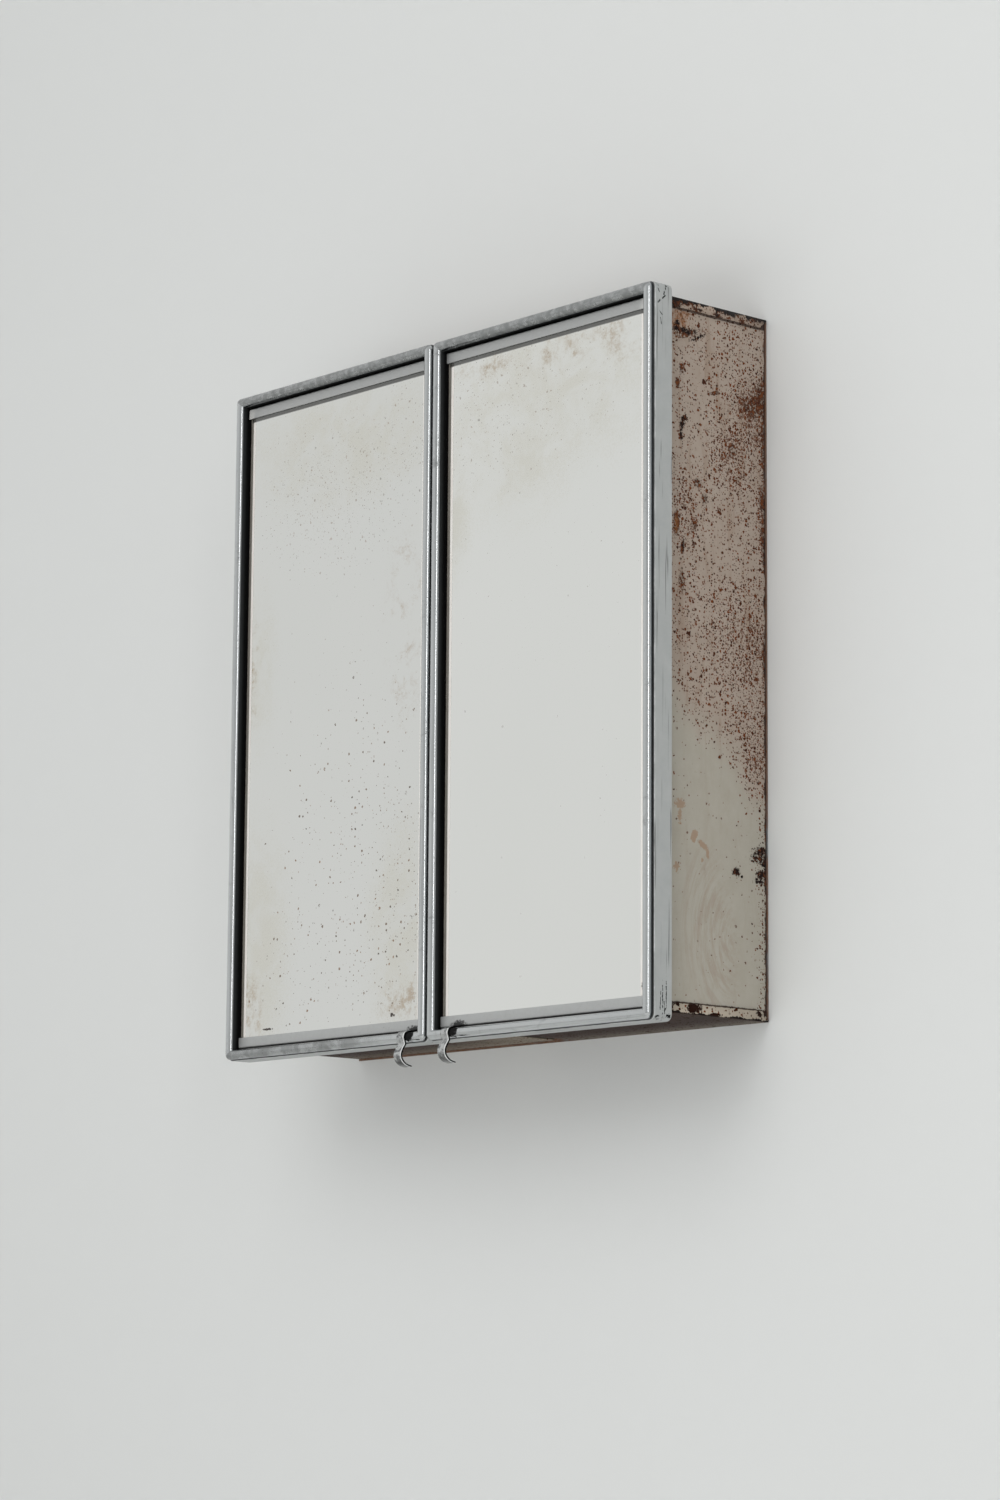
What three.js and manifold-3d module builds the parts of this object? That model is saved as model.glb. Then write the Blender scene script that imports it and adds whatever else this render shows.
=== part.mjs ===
// Two-door wall cabinet with mirrored doors in metal frames on a folded sheet-steel body.
// Millimetres. +X to the right, +Y back into the wall, +Z up. The origin is the middle of
// the rear face, so the wall is the plane y = 0 and the doors face -Y.
import * as THREE from 'three';
import { mergeVertices } from 'three/addons/utils/BufferGeometryUtils.js';
import Module from 'manifold-3d';

const wasm = await Module();
wasm.setup();

// ---------------------------------------------------------------- driving dimensions
const FIT = 0.3;                  // clearance left between neighbouring pieces

// doors
const DOOR_WIDTH = 270.4;
const DOOR_HEIGHT = 600;
const DOOR_DEPTH = 21.6;          // foot of the bead to the rear edge of the frame
const DOOR_GAP = 1.5;             // between the meeting stiles
const DOOR_CLEARANCE = 0.7;       // between the doors' rear edge and the body's front

// section of the frame: a half-round bead on a bar, and a flat band round the outside
const BEAD_RADIUS = 4.25;
const BEAD_INSET = 0.9;           // bead set in from the band's outer face
const BAND_SHEET = 1.5;
const BAND_STEP = 2.1;            // band starts this far behind the bead's foot
const BAR_DEPTH = 12;             // bar behind the bead, which the back plate lies on
const BAR_IN_FROM_BAND = 0.1;     // the bar's outer face stays clear of the band's inner face
const BAR_IN_FROM_BEAD = 0.7;
const BEAD_FACETS = 10;

// mirror and what holds it
const GLASS_THICKNESS = 4;
const GLASS_BEVEL_WIDTH = 8;
const GLASS_BEVEL_DEPTH = 0.9;
const GLASS_MARGIN = 1.9;         // open gap between the glass and the frame at the sides
const CARD_THICKNESS = 0.8;
const CHANNEL_SHEET = 0.9;
const CHANNEL_LIP = 9.2;          // height of the lip that holds the glass at top and bottom
const CHANNEL_RECESS = 4.5;       // front of the lip behind the bead's foot
const CHANNEL_MARGIN = 1.6;       // open gap between the channel and the frame
const PLATE_SHEET = 1;

// pull tabs
const PULL_WIDTH = 10.5;
const PULL_SHEET = 1;
const PULL_OFFSET = 28;           // middle of a tab from the middle of the cabinet
const PULL_TAIL = 7;              // length gripped between the channel and the frame
const PULL_DROP = 19.5;           // how far a tab hangs below the frame
const PULL_SLACK = 0.1;           // a tab stands this far off the bead's front
const PULL_THROAT = 0.4;          // back from the bead's foot, where a tab leaves the gap
const PULL_OVER = 0.72;           // shares of the turn round the bead, above its middle
const PULL_UNDER = [0.84, 0.64];  // and below it: forward, down
const PULL_NECK_DROP = 0.8;       // narrowest place, below the frame
const PULL_BULGE = [[1, 4.6], [2.9, 9.4]];               // forward, below the frame
const PULL_CURL = [[-1.6, 5], [2.6, 1.5], [8.2, 0]];     // backward, above the tip
const PULL_STEPS = 30;

// body
const BODY_WIDTH = 517.6;         // over the side panels
const BODY_DEPTH = 120;
const DOOR_ABOVE_BODY = 5.5;
const DOOR_BELOW_BODY = 8.5;
const SHEET = 1.2;
const FRONT_RETURN = 10;          // folded inwards round the front opening
const REAR_RETURN = 14;
const LAP_FLANGE = 9;             // top and bottom panels folded over the side panels
const LAP_FLANGE_SETBACK = 9;     // the flanges' front ends start behind the door
const LAP_FLANGE_SWEEP = 13;      // length of their curved front ends
const LAP_FLANGE_NOSE = 2;        // how bluntly the curve starts
const SEAM_X = 2;                 // edge of the left bottom panel
const SEAM_OVERLAP = 14;
const SEAM_STEP = 1.8;            // left bottom panel lies higher than the right one
const SEAM_JOGGLE = 24;           // length over which the right panel steps up
const SEAM_FLAT = 6;              // raised part beyond the left panel's edge

// keyhole slots in the back
const KEYHOLE_SPACING = 400;
const KEYHOLE_BELOW_TOP = 48;
const KEYHOLE_HEAD_RADIUS = 5.5;
const KEYHOLE_SLOT_RADIUS = 2.7;
const KEYHOLE_SLOT_LENGTH = 12;
const HANGER_WIDTH = 44;
const HANGER_HEIGHT = 52;
const HANGER_SHEET = 2;

// shelves
const SHELF_HEIGHTS = [92, -104]; // top faces
const SHELF_NAMES = ['upper', 'lower'];
const SHELF_SHEET = 1;
const SHELF_LIP = 10;
const SHELF_UPSTAND = 8;
const SHELF_SIDE_GAP = 0.7;
const SHELF_FRONT_SETBACK = 8;
const LEDGE_LEG = 10;
const LEDGE_SHEET = 1.2;
const LEDGE_INSET = 9;            // shorter than the shelf at each end

// hinges
const HINGE_HEIGHTS = [205, -205];
const HINGE_NAMES = ['upper', 'lower'];
const HINGE_LENGTH = 50;
const HINGE_SHEET = 1.2;
const HINGE_BARREL_RADIUS = 3;
const HINGE_PIN_RADIUS = 1.3;
const HINGE_SIDE_GAP = 0.6;       // barrel to side panel
const HINGE_LEAF_WIDTH = 16;
const HINGE_KNUCKLES = 3;
const PIN_HEAD_RADIUS = 2.6;
const PIN_HEAD_HEIGHT = 1.2;
const HINGE_FACETS = 10;

// spring catches under the top panel
const CATCH_OFFSET = 30;          // middle of a catch from the middle of the cabinet
const CATCH_WIDTH = 14;
const CATCH_SHEET = 0.8;
const CATCH_LENGTH = 16;
const CATCH_HEIGHT = 9;
const CATCH_DROP = 21;            // blade's height below the top of the body
const CATCH_SETBACK = 2;          // behind the front lip
const CATCH_PINCH = 0.3;          // narrowest place, as a share of the clip's length
const TONGUE_SHEET = 1.5;
const TONGUE_WIDTH = 11;
const TONGUE_FOOT = 14;
const TONGUE_REACH = 9;           // how far the blade goes into the clip

// rubber bumpers
const BUMPER_RADIUS = 4.5;
const BUMPER_TAPER = 0.8;         // rear radius as a share of the front one
const BUMPER_OFFSET = 12;         // from the free edge of the door
const BUMPER_PRELOAD_GAP = 0.35;

// ---------------------------------------------------------------- derived places
const halfHeight = DOOR_HEIGHT / 2;
const halfDoor = DOOR_WIDTH / 2;
const bodyTop = halfHeight - DOOR_ABOVE_BODY;
const bodyBottom = -halfHeight + DOOR_BELOW_BODY;
const bodySide = BODY_WIDTH / 2;
const flangeFace = bodySide + FIT + SHEET;
const bodyFront = -BODY_DEPTH;
const panelRear = -SHEET - FIT;                       // everything in front of the back panel
const beadFootY = bodyFront - DOOR_CLEARANCE - DOOR_DEPTH;
const doorCentreX = DOOR_GAP / 2 + halfDoor;
const innerEdge = BEAD_INSET + 2 * BEAD_RADIUS;       // outer face to the frame's inner wall
const openHalfWidth = halfDoor - innerEdge;
const openHalfHeight = halfHeight - innerEdge;
const channelTop = openHalfHeight - CHANNEL_MARGIN;
const channelHalf = openHalfWidth - CHANNEL_MARGIN;
const glassFront = CHANNEL_RECESS + CHANNEL_SHEET + FIT;
const glassRear = glassFront + GLASS_THICKNESS;
const cardRear = glassRear + FIT + CARD_THICKNESS;
const channelRear = cardRear + FIT + CHANNEL_SHEET;
const plateFront = Math.max(BAR_DEPTH, channelRear) + FIT;
const plateRear = plateFront + PLATE_SHEET;
const glassHalfHeight = channelTop - CHANNEL_SHEET - FIT;
const hingeX = bodySide + HINGE_SIDE_GAP + HINGE_BARREL_RADIUS;
const hingeY = bodyFront - FIT - HINGE_SHEET + HINGE_BARREL_RADIUS;
const bladeZ = bodyTop - CATCH_DROP;
const clipFront = bodyFront + SHEET + CATCH_SETBACK;
const keyholeZ = bodyTop - KEYHOLE_BELOW_TOP;

// ---------------------------------------------------------------- finishes
const finish = (name, color, roughness, metalness) =>
  Object.assign(new THREE.MeshStandardMaterial({ color, roughness, metalness }), { name });

const frameMetal = finish('frame_metal', 0xa9adb0, 0.32, 1);
const channelMetal = finish('channel_metal', 0x8e918f, 0.45, 1);
const mirrorGlass = finish('mirror', 0xdfe2dd, 0.05, 1);
const paintedSteel = finish('painted_steel', 0x978c7e, 0.7, 0);
const bareRustySteel = finish('rusty_steel', 0x54443e, 0.85, 0.2);
const springSteel = finish('spring_steel', 0xb2b6b8, 0.3, 1);
const hingeSteel = finish('hinge_steel', 0x8a8780, 0.45, 1);
const card = finish('card', 0x8b7458, 0.9, 0);
const rubber = finish('rubber', 0x2a2a2a, 0.85, 0);

// ---------------------------------------------------------------- solid helpers
function toSolid(geometry) {
  const bare = geometry.clone();
  bare.deleteAttribute('normal');
  bare.deleteAttribute('uv');
  const merged = mergeVertices(bare, 1e-4);
  return new wasm.Manifold(new wasm.Mesh({
    numProp: 3,
    vertProperties: new Float32Array(merged.attributes.position.array),
    triVerts: new Uint32Array(merged.index.array),
  }));
}

function toGeometry(solid) {
  const { vertProperties, triVerts } = solid.getMesh();
  const geometry = new THREE.BufferGeometry();
  geometry.setAttribute('position', new THREE.BufferAttribute(vertProperties, 3));
  geometry.setIndex(new THREE.BufferAttribute(triVerts, 1));
  geometry.computeVertexNormals();
  return geometry;
}

// A box between two X, two Y and two Z values, given in either order.
function block(x0, x1, y0, y1, z0, z1) {
  const box = new THREE.BoxGeometry(Math.abs(x1 - x0), Math.abs(y1 - y0), Math.abs(z1 - z0));
  box.translate((x0 + x1) / 2, (y0 + y1) / 2, (z0 + z1) / 2);
  return toSolid(box);
}

// Columns of the turns that stand an extrusion along each axis: an outline drawn in
// (y, z) goes along X, one in (x, z) along Y and one in (x, y) along Z.
const X = new THREE.Vector3(1, 0, 0);
const Y = new THREE.Vector3(0, 1, 0);
const Z = new THREE.Vector3(0, 0, 1);
const STAND = {
  x: new THREE.Matrix4().makeBasis(Y, Z, X),
  y: new THREE.Matrix4().makeBasis(X, Z, Y.clone().negate()),
  z: new THREE.Matrix4().makeBasis(X, Y, Z),
};

function prism(outline, axis, start, end, curveSegments = 8) {
  const shape = outline instanceof THREE.Shape
    ? outline
    : new THREE.Shape(outline.map(([a, b]) => new THREE.Vector2(a, b)));
  const low = Math.min(start, end);
  const geometry = new THREE.ExtrudeGeometry(shape, {
    depth: Math.abs(end - start), bevelEnabled: false, curveSegments,
  });
  // The turn for Y runs the extrusion towards -Y, so it starts from the far end.
  geometry.translate(0, 0, axis === 'y' ? -Math.max(start, end) : low);
  geometry.applyMatrix4(STAND[axis]);
  return toSolid(geometry);
}

const union = (...solids) => solids.reduce((a, b) => a.add(b));
const mirrored = (points, side) => points.map(([a, b]) => [side * a, b]);

// Outline of a strip of even thickness that follows a smooth line through the points.
function stripOutline(points, thickness, steps) {
  const line = new THREE.SplineCurve(points.map(([a, b]) => new THREE.Vector2(a, b)));
  const left = [];
  const right = [];
  for (let i = 0; i <= steps; i += 1) {
    const at = line.getPoint(i / steps);
    const along = line.getTangent(i / steps);
    const across = new THREE.Vector2(-along.y, along.x).multiplyScalar(thickness / 2);
    left.push([at.x + across.x, at.y + across.y]);
    right.unshift([at.x - across.x, at.y - across.y]);
  }
  return [...left, ...right];
}

const cabinet = new THREE.Group();

function place(group, name, solid, material) {
  const mesh = new THREE.Mesh(toGeometry(solid), material);
  mesh.name = name;
  group.add(mesh);
}

// ---------------------------------------------------------------- body
// A keyhole: a round hole for the screw's head with a narrow slot above it, which the
// screw's neck slides up into as the cabinet is lowered.
function keyhole(x, front, rear) {
  const head = new THREE.Shape();
  head.absarc(x, keyholeZ, KEYHOLE_HEAD_RADIUS, 0, 2 * Math.PI);
  const slotTop = keyholeZ + KEYHOLE_SLOT_LENGTH;
  const slot = new THREE.Shape();
  slot.moveTo(x - KEYHOLE_SLOT_RADIUS, keyholeZ);
  slot.lineTo(x + KEYHOLE_SLOT_RADIUS, keyholeZ);
  slot.lineTo(x + KEYHOLE_SLOT_RADIUS, slotTop);
  slot.absarc(x, slotTop, KEYHOLE_SLOT_RADIUS, 0, Math.PI);
  return prism(head, 'y', front, rear).add(prism(slot, 'y', front, rear, 6));
}

function backPanel() {
  let panel = block(-bodySide, bodySide, -SHEET, 0, bodyBottom, bodyTop);
  for (const side of [-1, 1]) {
    panel = panel.subtract(keyhole(side * KEYHOLE_SPACING / 2, -SHEET - 1, 1));
  }
  return panel;
}

function hangerPlate(side) {
  const x = side * KEYHOLE_SPACING / 2;
  const rear = panelRear;
  const front = rear - HANGER_SHEET;
  const middle = keyholeZ + KEYHOLE_SLOT_LENGTH / 2;
  const plate = block(
    x - HANGER_WIDTH / 2, x + HANGER_WIDTH / 2, front, rear,
    middle - HANGER_HEIGHT / 2, middle + HANGER_HEIGHT / 2,
  );
  return plate.subtract(keyhole(x, front - 1, rear + 1));
}

// Underside of the bottom panel on each side of the seam.
const floorUnder = (side) => bodyBottom + (side < 0 ? SEAM_STEP : 0);

// A folded channel: the side itself, a return round the front and one behind.
function sidePanel(side) {
  const inside = bodySide - SHEET;
  const outline = [
    [bodySide, bodyFront], [bodySide, panelRear],
    [inside - REAR_RETURN, panelRear], [inside - REAR_RETURN, panelRear - SHEET],
    [inside, panelRear - SHEET], [inside, bodyFront + SHEET],
    [inside - FRONT_RETURN, bodyFront + SHEET], [inside - FRONT_RETURN, bodyFront],
  ];
  const low = floorUnder(side) + SHEET + FIT;
  return prism(mirrored(outline, side), 'z', low, bodyTop - SHEET - FIT);
}

// Flange that laps over the side panel: its front end sweeps up and its rear end is
// cut at 45 degrees. up is 1 for the bottom panel and -1 for the top one.
function lapFlange(side, edgeZ, up) {
  const start = bodyFront + LAP_FLANGE_SETBACK;
  const end = panelRear;
  const shape = new THREE.Shape();
  shape.moveTo(start, edgeZ);
  shape.quadraticCurveTo(
    start + LAP_FLANGE_NOSE, edgeZ + up * LAP_FLANGE, start + LAP_FLANGE_SWEEP, edgeZ + up * LAP_FLANGE,
  );
  shape.lineTo(end - LAP_FLANGE, edgeZ + up * LAP_FLANGE);
  shape.lineTo(end, edgeZ + up * SHEET);
  shape.lineTo(end, edgeZ);
  return prism(shape, 'x', side * (flangeFace - SHEET), side * flangeFace);
}

const lipReach = bodySide - SHEET - FRONT_RETURN - FIT;   // front lips stop at the side returns

function topPanel() {
  return union(
    block(-flangeFace, flangeFace, bodyFront, panelRear, bodyTop - SHEET, bodyTop),
    block(-lipReach, lipReach, bodyFront, bodyFront + SHEET, bodyTop - FRONT_RETURN, bodyTop),
    lapFlange(-1, bodyTop, -1),
    lapFlange(1, bodyTop, -1),
  );
}

function bottomPanelLeft() {
  const under = floorUnder(-1);
  return union(
    block(-flangeFace, SEAM_X, bodyFront, panelRear, under, under + SHEET),
    block(-lipReach, SEAM_X, bodyFront, bodyFront + SHEET, under, under + FRONT_RETURN),
    lapFlange(-1, under, 1),
  );
}

// The right panel steps up and lies on the left one at the seam.
function bottomPanelRight() {
  const under = floorUnder(1);
  const raised = floorUnder(-1) + SHEET + FIT;
  const stepStart = SEAM_X + SEAM_FLAT;
  const stepEnd = stepStart + SEAM_JOGGLE;
  const lapEnd = SEAM_X - SEAM_OVERLAP;
  const sheet = [
    [flangeFace, under], [flangeFace, under + SHEET], [stepEnd, under + SHEET],
    [stepStart, raised + SHEET], [lapEnd, raised + SHEET], [lapEnd, raised],
    [stepStart, raised], [stepEnd, under],
  ];
  return union(
    prism(sheet, 'y', bodyFront + SHEET + FIT, panelRear),
    block(stepEnd, flangeFace, bodyFront, panelRear, under, under + SHEET),
    block(stepEnd, lipReach, bodyFront, bodyFront + SHEET, under, under + FRONT_RETURN),
    lapFlange(1, under, 1),
  );
}

const shelfFront = bodyFront + SHELF_FRONT_SETBACK;
const shelfRear = panelRear - SHEET - FIT;
const shelfHalf = bodySide - SHEET - SHELF_SIDE_GAP;

function shelf(top) {
  const outline = [
    [shelfFront, top], [shelfRear - SHELF_SHEET, top], [shelfRear - SHELF_SHEET, top + SHELF_UPSTAND],
    [shelfRear, top + SHELF_UPSTAND], [shelfRear, top - SHELF_SHEET],
    [shelfFront + SHELF_SHEET, top - SHELF_SHEET], [shelfFront + SHELF_SHEET, top - SHELF_LIP],
    [shelfFront, top - SHELF_LIP],
  ];
  return prism(outline, 'x', -shelfHalf, shelfHalf);
}

function shelfLedge(side, top) {
  const wall = bodySide - SHEET - FIT;
  const seat = top - SHELF_SHEET - FIT;
  const outline = [
    [wall, seat], [wall, seat - LEDGE_LEG], [wall - LEDGE_SHEET, seat - LEDGE_LEG],
    [wall - LEDGE_SHEET, seat - LEDGE_SHEET], [wall - LEDGE_LEG, seat - LEDGE_SHEET],
    [wall - LEDGE_LEG, seat],
  ];
  return prism(mirrored(outline, side), 'y', shelfFront + LEDGE_INSET, shelfRear - LEDGE_INSET);
}

// A spring clip open to the front, hung from the underside of the top panel.
function catchClip(side) {
  const ceiling = bodyTop - SHEET - FIT;
  const front = clipFront;
  const rear = front + CATCH_LENGTH;
  const low = bladeZ - CATCH_HEIGHT / 2;
  const high = bladeZ + CATCH_HEIGHT / 2;
  const grip = TONGUE_SHEET / 2 + FIT;
  const pinch = front + CATCH_LENGTH * CATCH_PINCH;
  const lowerJaw = [
    [front, low], [pinch, bladeZ - grip], [rear - CATCH_SHEET, low], [rear, low - CATCH_SHEET],
    [pinch, bladeZ - grip - CATCH_SHEET], [front, low - CATCH_SHEET],
  ];
  const upperJaw = lowerJaw.map(([y, z]) => [y, 2 * bladeZ - z]);
  const hanger = [
    [rear, low - CATCH_SHEET], [rear, ceiling], [front, ceiling], [front, ceiling - CATCH_SHEET],
    [rear - CATCH_SHEET, ceiling - CATCH_SHEET], [rear - CATCH_SHEET, low - CATCH_SHEET],
  ];
  const from = side * CATCH_OFFSET - CATCH_WIDTH / 2;
  const to = from + CATCH_WIDTH;
  return union(
    prism(lowerJaw, 'x', from, to), prism(upperJaw, 'x', from, to), prism(hanger, 'x', from, to),
  );
}

// ---------------------------------------------------------------- hinges
// Barrel with alternate knuckles. The cabinet's leaf has the outer ones.
const knuckleLength = HINGE_LENGTH / HINGE_KNUCKLES;

function hingeBarrel(x, y, z, owned) {
  const ring = new THREE.Shape();
  ring.absarc(x, y, HINGE_BARREL_RADIUS, 0, 2 * Math.PI);
  ring.holes.push(new THREE.Path().absarc(x, y, HINGE_PIN_RADIUS + FIT, 0, 2 * Math.PI, true));
  const foot = z - HINGE_LENGTH / 2;
  return owned.map((index) => {
    const low = foot + index * knuckleLength + (index > 0 ? FIT / 2 : 0);
    const high = foot + (index + 1) * knuckleLength - (index < HINGE_KNUCKLES - 1 ? FIT / 2 : 0);
    return prism(ring, 'z', low, high, HINGE_FACETS);
  });
}

// A leaf is cut away beside the knuckles that belong to the other leaf.
function hingeLeaf(x, y, z, owned, plate) {
  const reach = HINGE_BARREL_RADIUS + FIT;
  let leaf = plate;
  for (let index = 0; index < HINGE_KNUCKLES; index += 1) {
    if (!owned.includes(index)) {
      const low = z - HINGE_LENGTH / 2 + index * knuckleLength - FIT / 2;
      leaf = leaf.subtract(
        block(x - reach, x + reach, y - reach, y + reach, low, low + knuckleLength + FIT),
      );
    }
  }
  const hole = prism(
    new THREE.Shape().absarc(x, y, HINGE_PIN_RADIUS + FIT, 0, 2 * Math.PI),
    'z', z - HINGE_LENGTH, z + HINGE_LENGTH, HINGE_FACETS,
  );
  return union(leaf, ...hingeBarrel(x, y, z, owned)).subtract(hole);
}

function cabinetLeaf(side, z) {
  const x = side * hingeX;
  const rear = bodyFront - FIT;
  const plate = block(
    x, side * (bodySide - HINGE_LEAF_WIDTH), rear - HINGE_SHEET, rear,
    z - HINGE_LENGTH / 2, z + HINGE_LENGTH / 2,
  );
  return hingeLeaf(x, hingeY, z, [0, 2], plate);
}

function hingePin(side, z) {
  const half = HINGE_LENGTH / 2;
  const head = half + FIT;
  const profile = [
    [0, -head - PIN_HEAD_HEIGHT], [PIN_HEAD_RADIUS, -head - PIN_HEAD_HEIGHT],
    [PIN_HEAD_RADIUS, -head], [HINGE_PIN_RADIUS, -head], [HINGE_PIN_RADIUS, head],
    [PIN_HEAD_RADIUS, head], [PIN_HEAD_RADIUS, head + PIN_HEAD_HEIGHT], [0, head + PIN_HEAD_HEIGHT],
  ].map(([r, h]) => new THREE.Vector2(r, h));
  const pin = new THREE.LatheGeometry(profile, 16);
  pin.rotateX(Math.PI / 2);
  pin.translate(side * hingeX, hingeY, z);
  return toSolid(pin);
}

// ---------------------------------------------------------------- doors
// Each door is drawn about its own middle: x across, y back from the bead's foot, z up.
// side is -1 for the left door and 1 for the right one, so side * x points to its hinges.

// Section of the frame: first coordinate inwards from the outer face, second backwards.
function frameSection() {
  const bead = new THREE.Shape();
  const barOuter = Math.max(BAND_SHEET + BAR_IN_FROM_BAND, BEAD_INSET + BAR_IN_FROM_BEAD);
  bead.moveTo(BEAD_INSET, 0);
  bead.absarc(BEAD_INSET + BEAD_RADIUS, 0, BEAD_RADIUS, Math.PI, 2 * Math.PI, false);
  bead.lineTo(innerEdge, plateFront - FIT);
  bead.lineTo(BAND_SHEET, plateFront - FIT);
  bead.lineTo(BAND_SHEET, DOOR_DEPTH);
  bead.lineTo(0, DOOR_DEPTH);
  bead.lineTo(0, BAND_STEP);
  bead.lineTo(barOuter, BAND_STEP);
  bead.lineTo(barOuter, 0);
  return bead;
}

// Turned about the Y axis in four flat sides, the section makes a square frame with mitred
// corners. Its upper and lower halves are then moved apart to the door's height.
function doorFrame() {
  const profile = frameSection().getPoints(BEAD_FACETS).reverse().map(
    (point) => new THREE.Vector2((halfDoor - point.x) * Math.SQRT2, point.y),
  );
  profile.push(profile[0].clone());
  const ring = new THREE.LatheGeometry(profile, 4, Math.PI / 4);
  const at = ring.attributes.position;
  for (let i = 0; i < at.count; i += 1) {
    at.setZ(i, at.getZ(i) + Math.sign(at.getZ(i)) * (halfHeight - halfDoor));
  }
  return toSolid(ring);
}

// Bevelled on all four front edges.
function mirror() {
  const width = openHalfWidth - GLASS_MARGIN;
  const outline = new THREE.Shape([
    new THREE.Vector2(-width, -glassHalfHeight), new THREE.Vector2(width, -glassHalfHeight),
    new THREE.Vector2(width, glassHalfHeight), new THREE.Vector2(-width, glassHalfHeight),
  ]);
  const pane = new THREE.ExtrudeGeometry(outline, {
    depth: GLASS_THICKNESS, bevelEnabled: true, bevelSegments: 1,
    bevelThickness: GLASS_BEVEL_DEPTH, bevelSize: GLASS_BEVEL_WIDTH, bevelOffset: -GLASS_BEVEL_WIDTH,
  });
  pane.applyMatrix4(STAND.y);
  pane.translate(0, glassFront + GLASS_THICKNESS + GLASS_BEVEL_DEPTH, 0);
  // only the front face keeps its bevel
  const back = glassFront + GLASS_BEVEL_DEPTH;
  const edge = block(-width, width, back, glassRear, -glassHalfHeight, glassHalfHeight);
  const front = toSolid(pane).intersect(
    block(-halfDoor, halfDoor, glassFront, back + FIT, -halfHeight, halfHeight),
  );
  return front.add(edge);
}

function mirrorCard() {
  const width = openHalfWidth - GLASS_MARGIN;
  return block(
    -width, width, glassRear + FIT, cardRear, -glassHalfHeight, glassHalfHeight,
  );
}

// Folded channel that the glass stands in, or hangs from: up is 1 at the top.
function mirrorChannel(up) {
  const outer = up * channelTop;
  const inner = up * (channelTop - CHANNEL_LIP);
  const web = up * (channelTop - CHANNEL_SHEET);
  const outline = [
    [CHANNEL_RECESS, inner], [CHANNEL_RECESS, outer], [channelRear, outer], [channelRear, inner],
    [channelRear - CHANNEL_SHEET, inner], [channelRear - CHANNEL_SHEET, web],
    [CHANNEL_RECESS + CHANNEL_SHEET, web], [CHANNEL_RECESS + CHANNEL_SHEET, inner],
  ];
  return prism(outline, 'x', -channelHalf, channelHalf);
}

function backPlate() {
  const x = halfDoor - BAND_SHEET - FIT;
  const z = halfHeight - BAND_SHEET - FIT;
  return block(-x, x, plateFront, plateRear, -z, z);
}

// A bent strip: its tail lies in the gap under the bottom channel, and it goes over the
// bead, dips in below it, bulges forward and curls back to a finger hook.
function pullTab(side) {
  const gapZ = -openHalfHeight + CHANNEL_MARGIN / 2;
  const beadZ = -openHalfHeight - BEAD_RADIUS;
  const wrap = BEAD_RADIUS + FIT + PULL_SHEET / 2;
  const tip = -halfHeight - PULL_DROP + PULL_SHEET / 2;
  const over = beadZ + wrap;
  const middle = [
    [PULL_TAIL, gapZ], [PULL_TAIL / 2, gapZ], [PULL_THROAT, (gapZ + over) / 2 + PULL_SLACK],
    [-wrap * PULL_OVER, beadZ + wrap * PULL_OVER], [-wrap - PULL_SLACK, beadZ],
    [-wrap * PULL_UNDER[0], beadZ - wrap * PULL_UNDER[1]],
    [-wrap * PULL_OVER, -halfHeight - PULL_NECK_DROP],
    ...PULL_BULGE.map(([forward, down]) => [-wrap - forward, -halfHeight - down]),
    ...PULL_CURL.map(([back, up]) => [-wrap + back, tip + up]),
  ];
  const x = side * (PULL_OFFSET - doorCentreX);
  return prism(
    stripOutline(middle, PULL_SHEET, PULL_STEPS), 'x', x - PULL_WIDTH / 2, x + PULL_WIDTH / 2,
  );
}

// Angle whose foot is fixed to the back plate and whose blade runs back into the clip.
function catchTongue(side) {
  const x = side * (CATCH_OFFSET - doorCentreX);
  const footFront = plateRear + FIT;
  const bladeEnd = clipFront - beadFootY + TONGUE_REACH;
  const outline = [
    [footFront, bladeZ - TONGUE_FOOT], [footFront, bladeZ + TONGUE_SHEET / 2],
    [bladeEnd, bladeZ + TONGUE_SHEET / 2],
    [bladeEnd, bladeZ - TONGUE_SHEET / 2],
    [footFront + TONGUE_SHEET, bladeZ - TONGUE_SHEET / 2],
    [footFront + TONGUE_SHEET, bladeZ - TONGUE_FOOT],
  ];
  return prism(outline, 'x', x - TONGUE_WIDTH / 2, x + TONGUE_WIDTH / 2);
}

// Rubber bumper on the back plate that meets the front lip of the body.
function bumper(side, z) {
  const front = plateRear + FIT;
  const rear = bodyFront - BUMPER_PRELOAD_GAP - beadFootY;
  const foot = new THREE.CylinderGeometry(BUMPER_RADIUS, BUMPER_RADIUS * BUMPER_TAPER, rear - front, 20);
  foot.rotateX(Math.PI);
  foot.translate(side * (BUMPER_OFFSET - halfDoor), (front + rear) / 2, z);
  return toSolid(foot);
}

// The door's leaf runs forward from the barrel and is folded flat against the back plate.
function doorLeaf(side, z) {
  const x = side * (hingeX - doorCentreX);
  const y = hingeY - beadFootY;
  const outer = x + side * HINGE_BARREL_RADIUS;
  const front = plateRear + FIT;
  const low = z - HINGE_LENGTH / 2;
  const high = z + HINGE_LENGTH / 2;
  const plate = union(
    block(outer - side * HINGE_SHEET, outer, front, y, low, high),
    block(outer, x - side * HINGE_LEAF_WIDTH, front, front + HINGE_SHEET, low, high),
  );
  return hingeLeaf(x, y, z, [1], plate);
}

// ---------------------------------------------------------------- assembly
place(cabinet, 'back_panel', backPanel(), bareRustySteel);
place(cabinet, 'top_panel', topPanel(), paintedSteel);
place(cabinet, 'bottom_panel_left', bottomPanelLeft(), paintedSteel);
place(cabinet, 'bottom_panel_right', bottomPanelRight(), paintedSteel);
SHELF_HEIGHTS.forEach((top, i) => place(cabinet, `shelf_${SHELF_NAMES[i]}`, shelf(top), paintedSteel));

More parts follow.
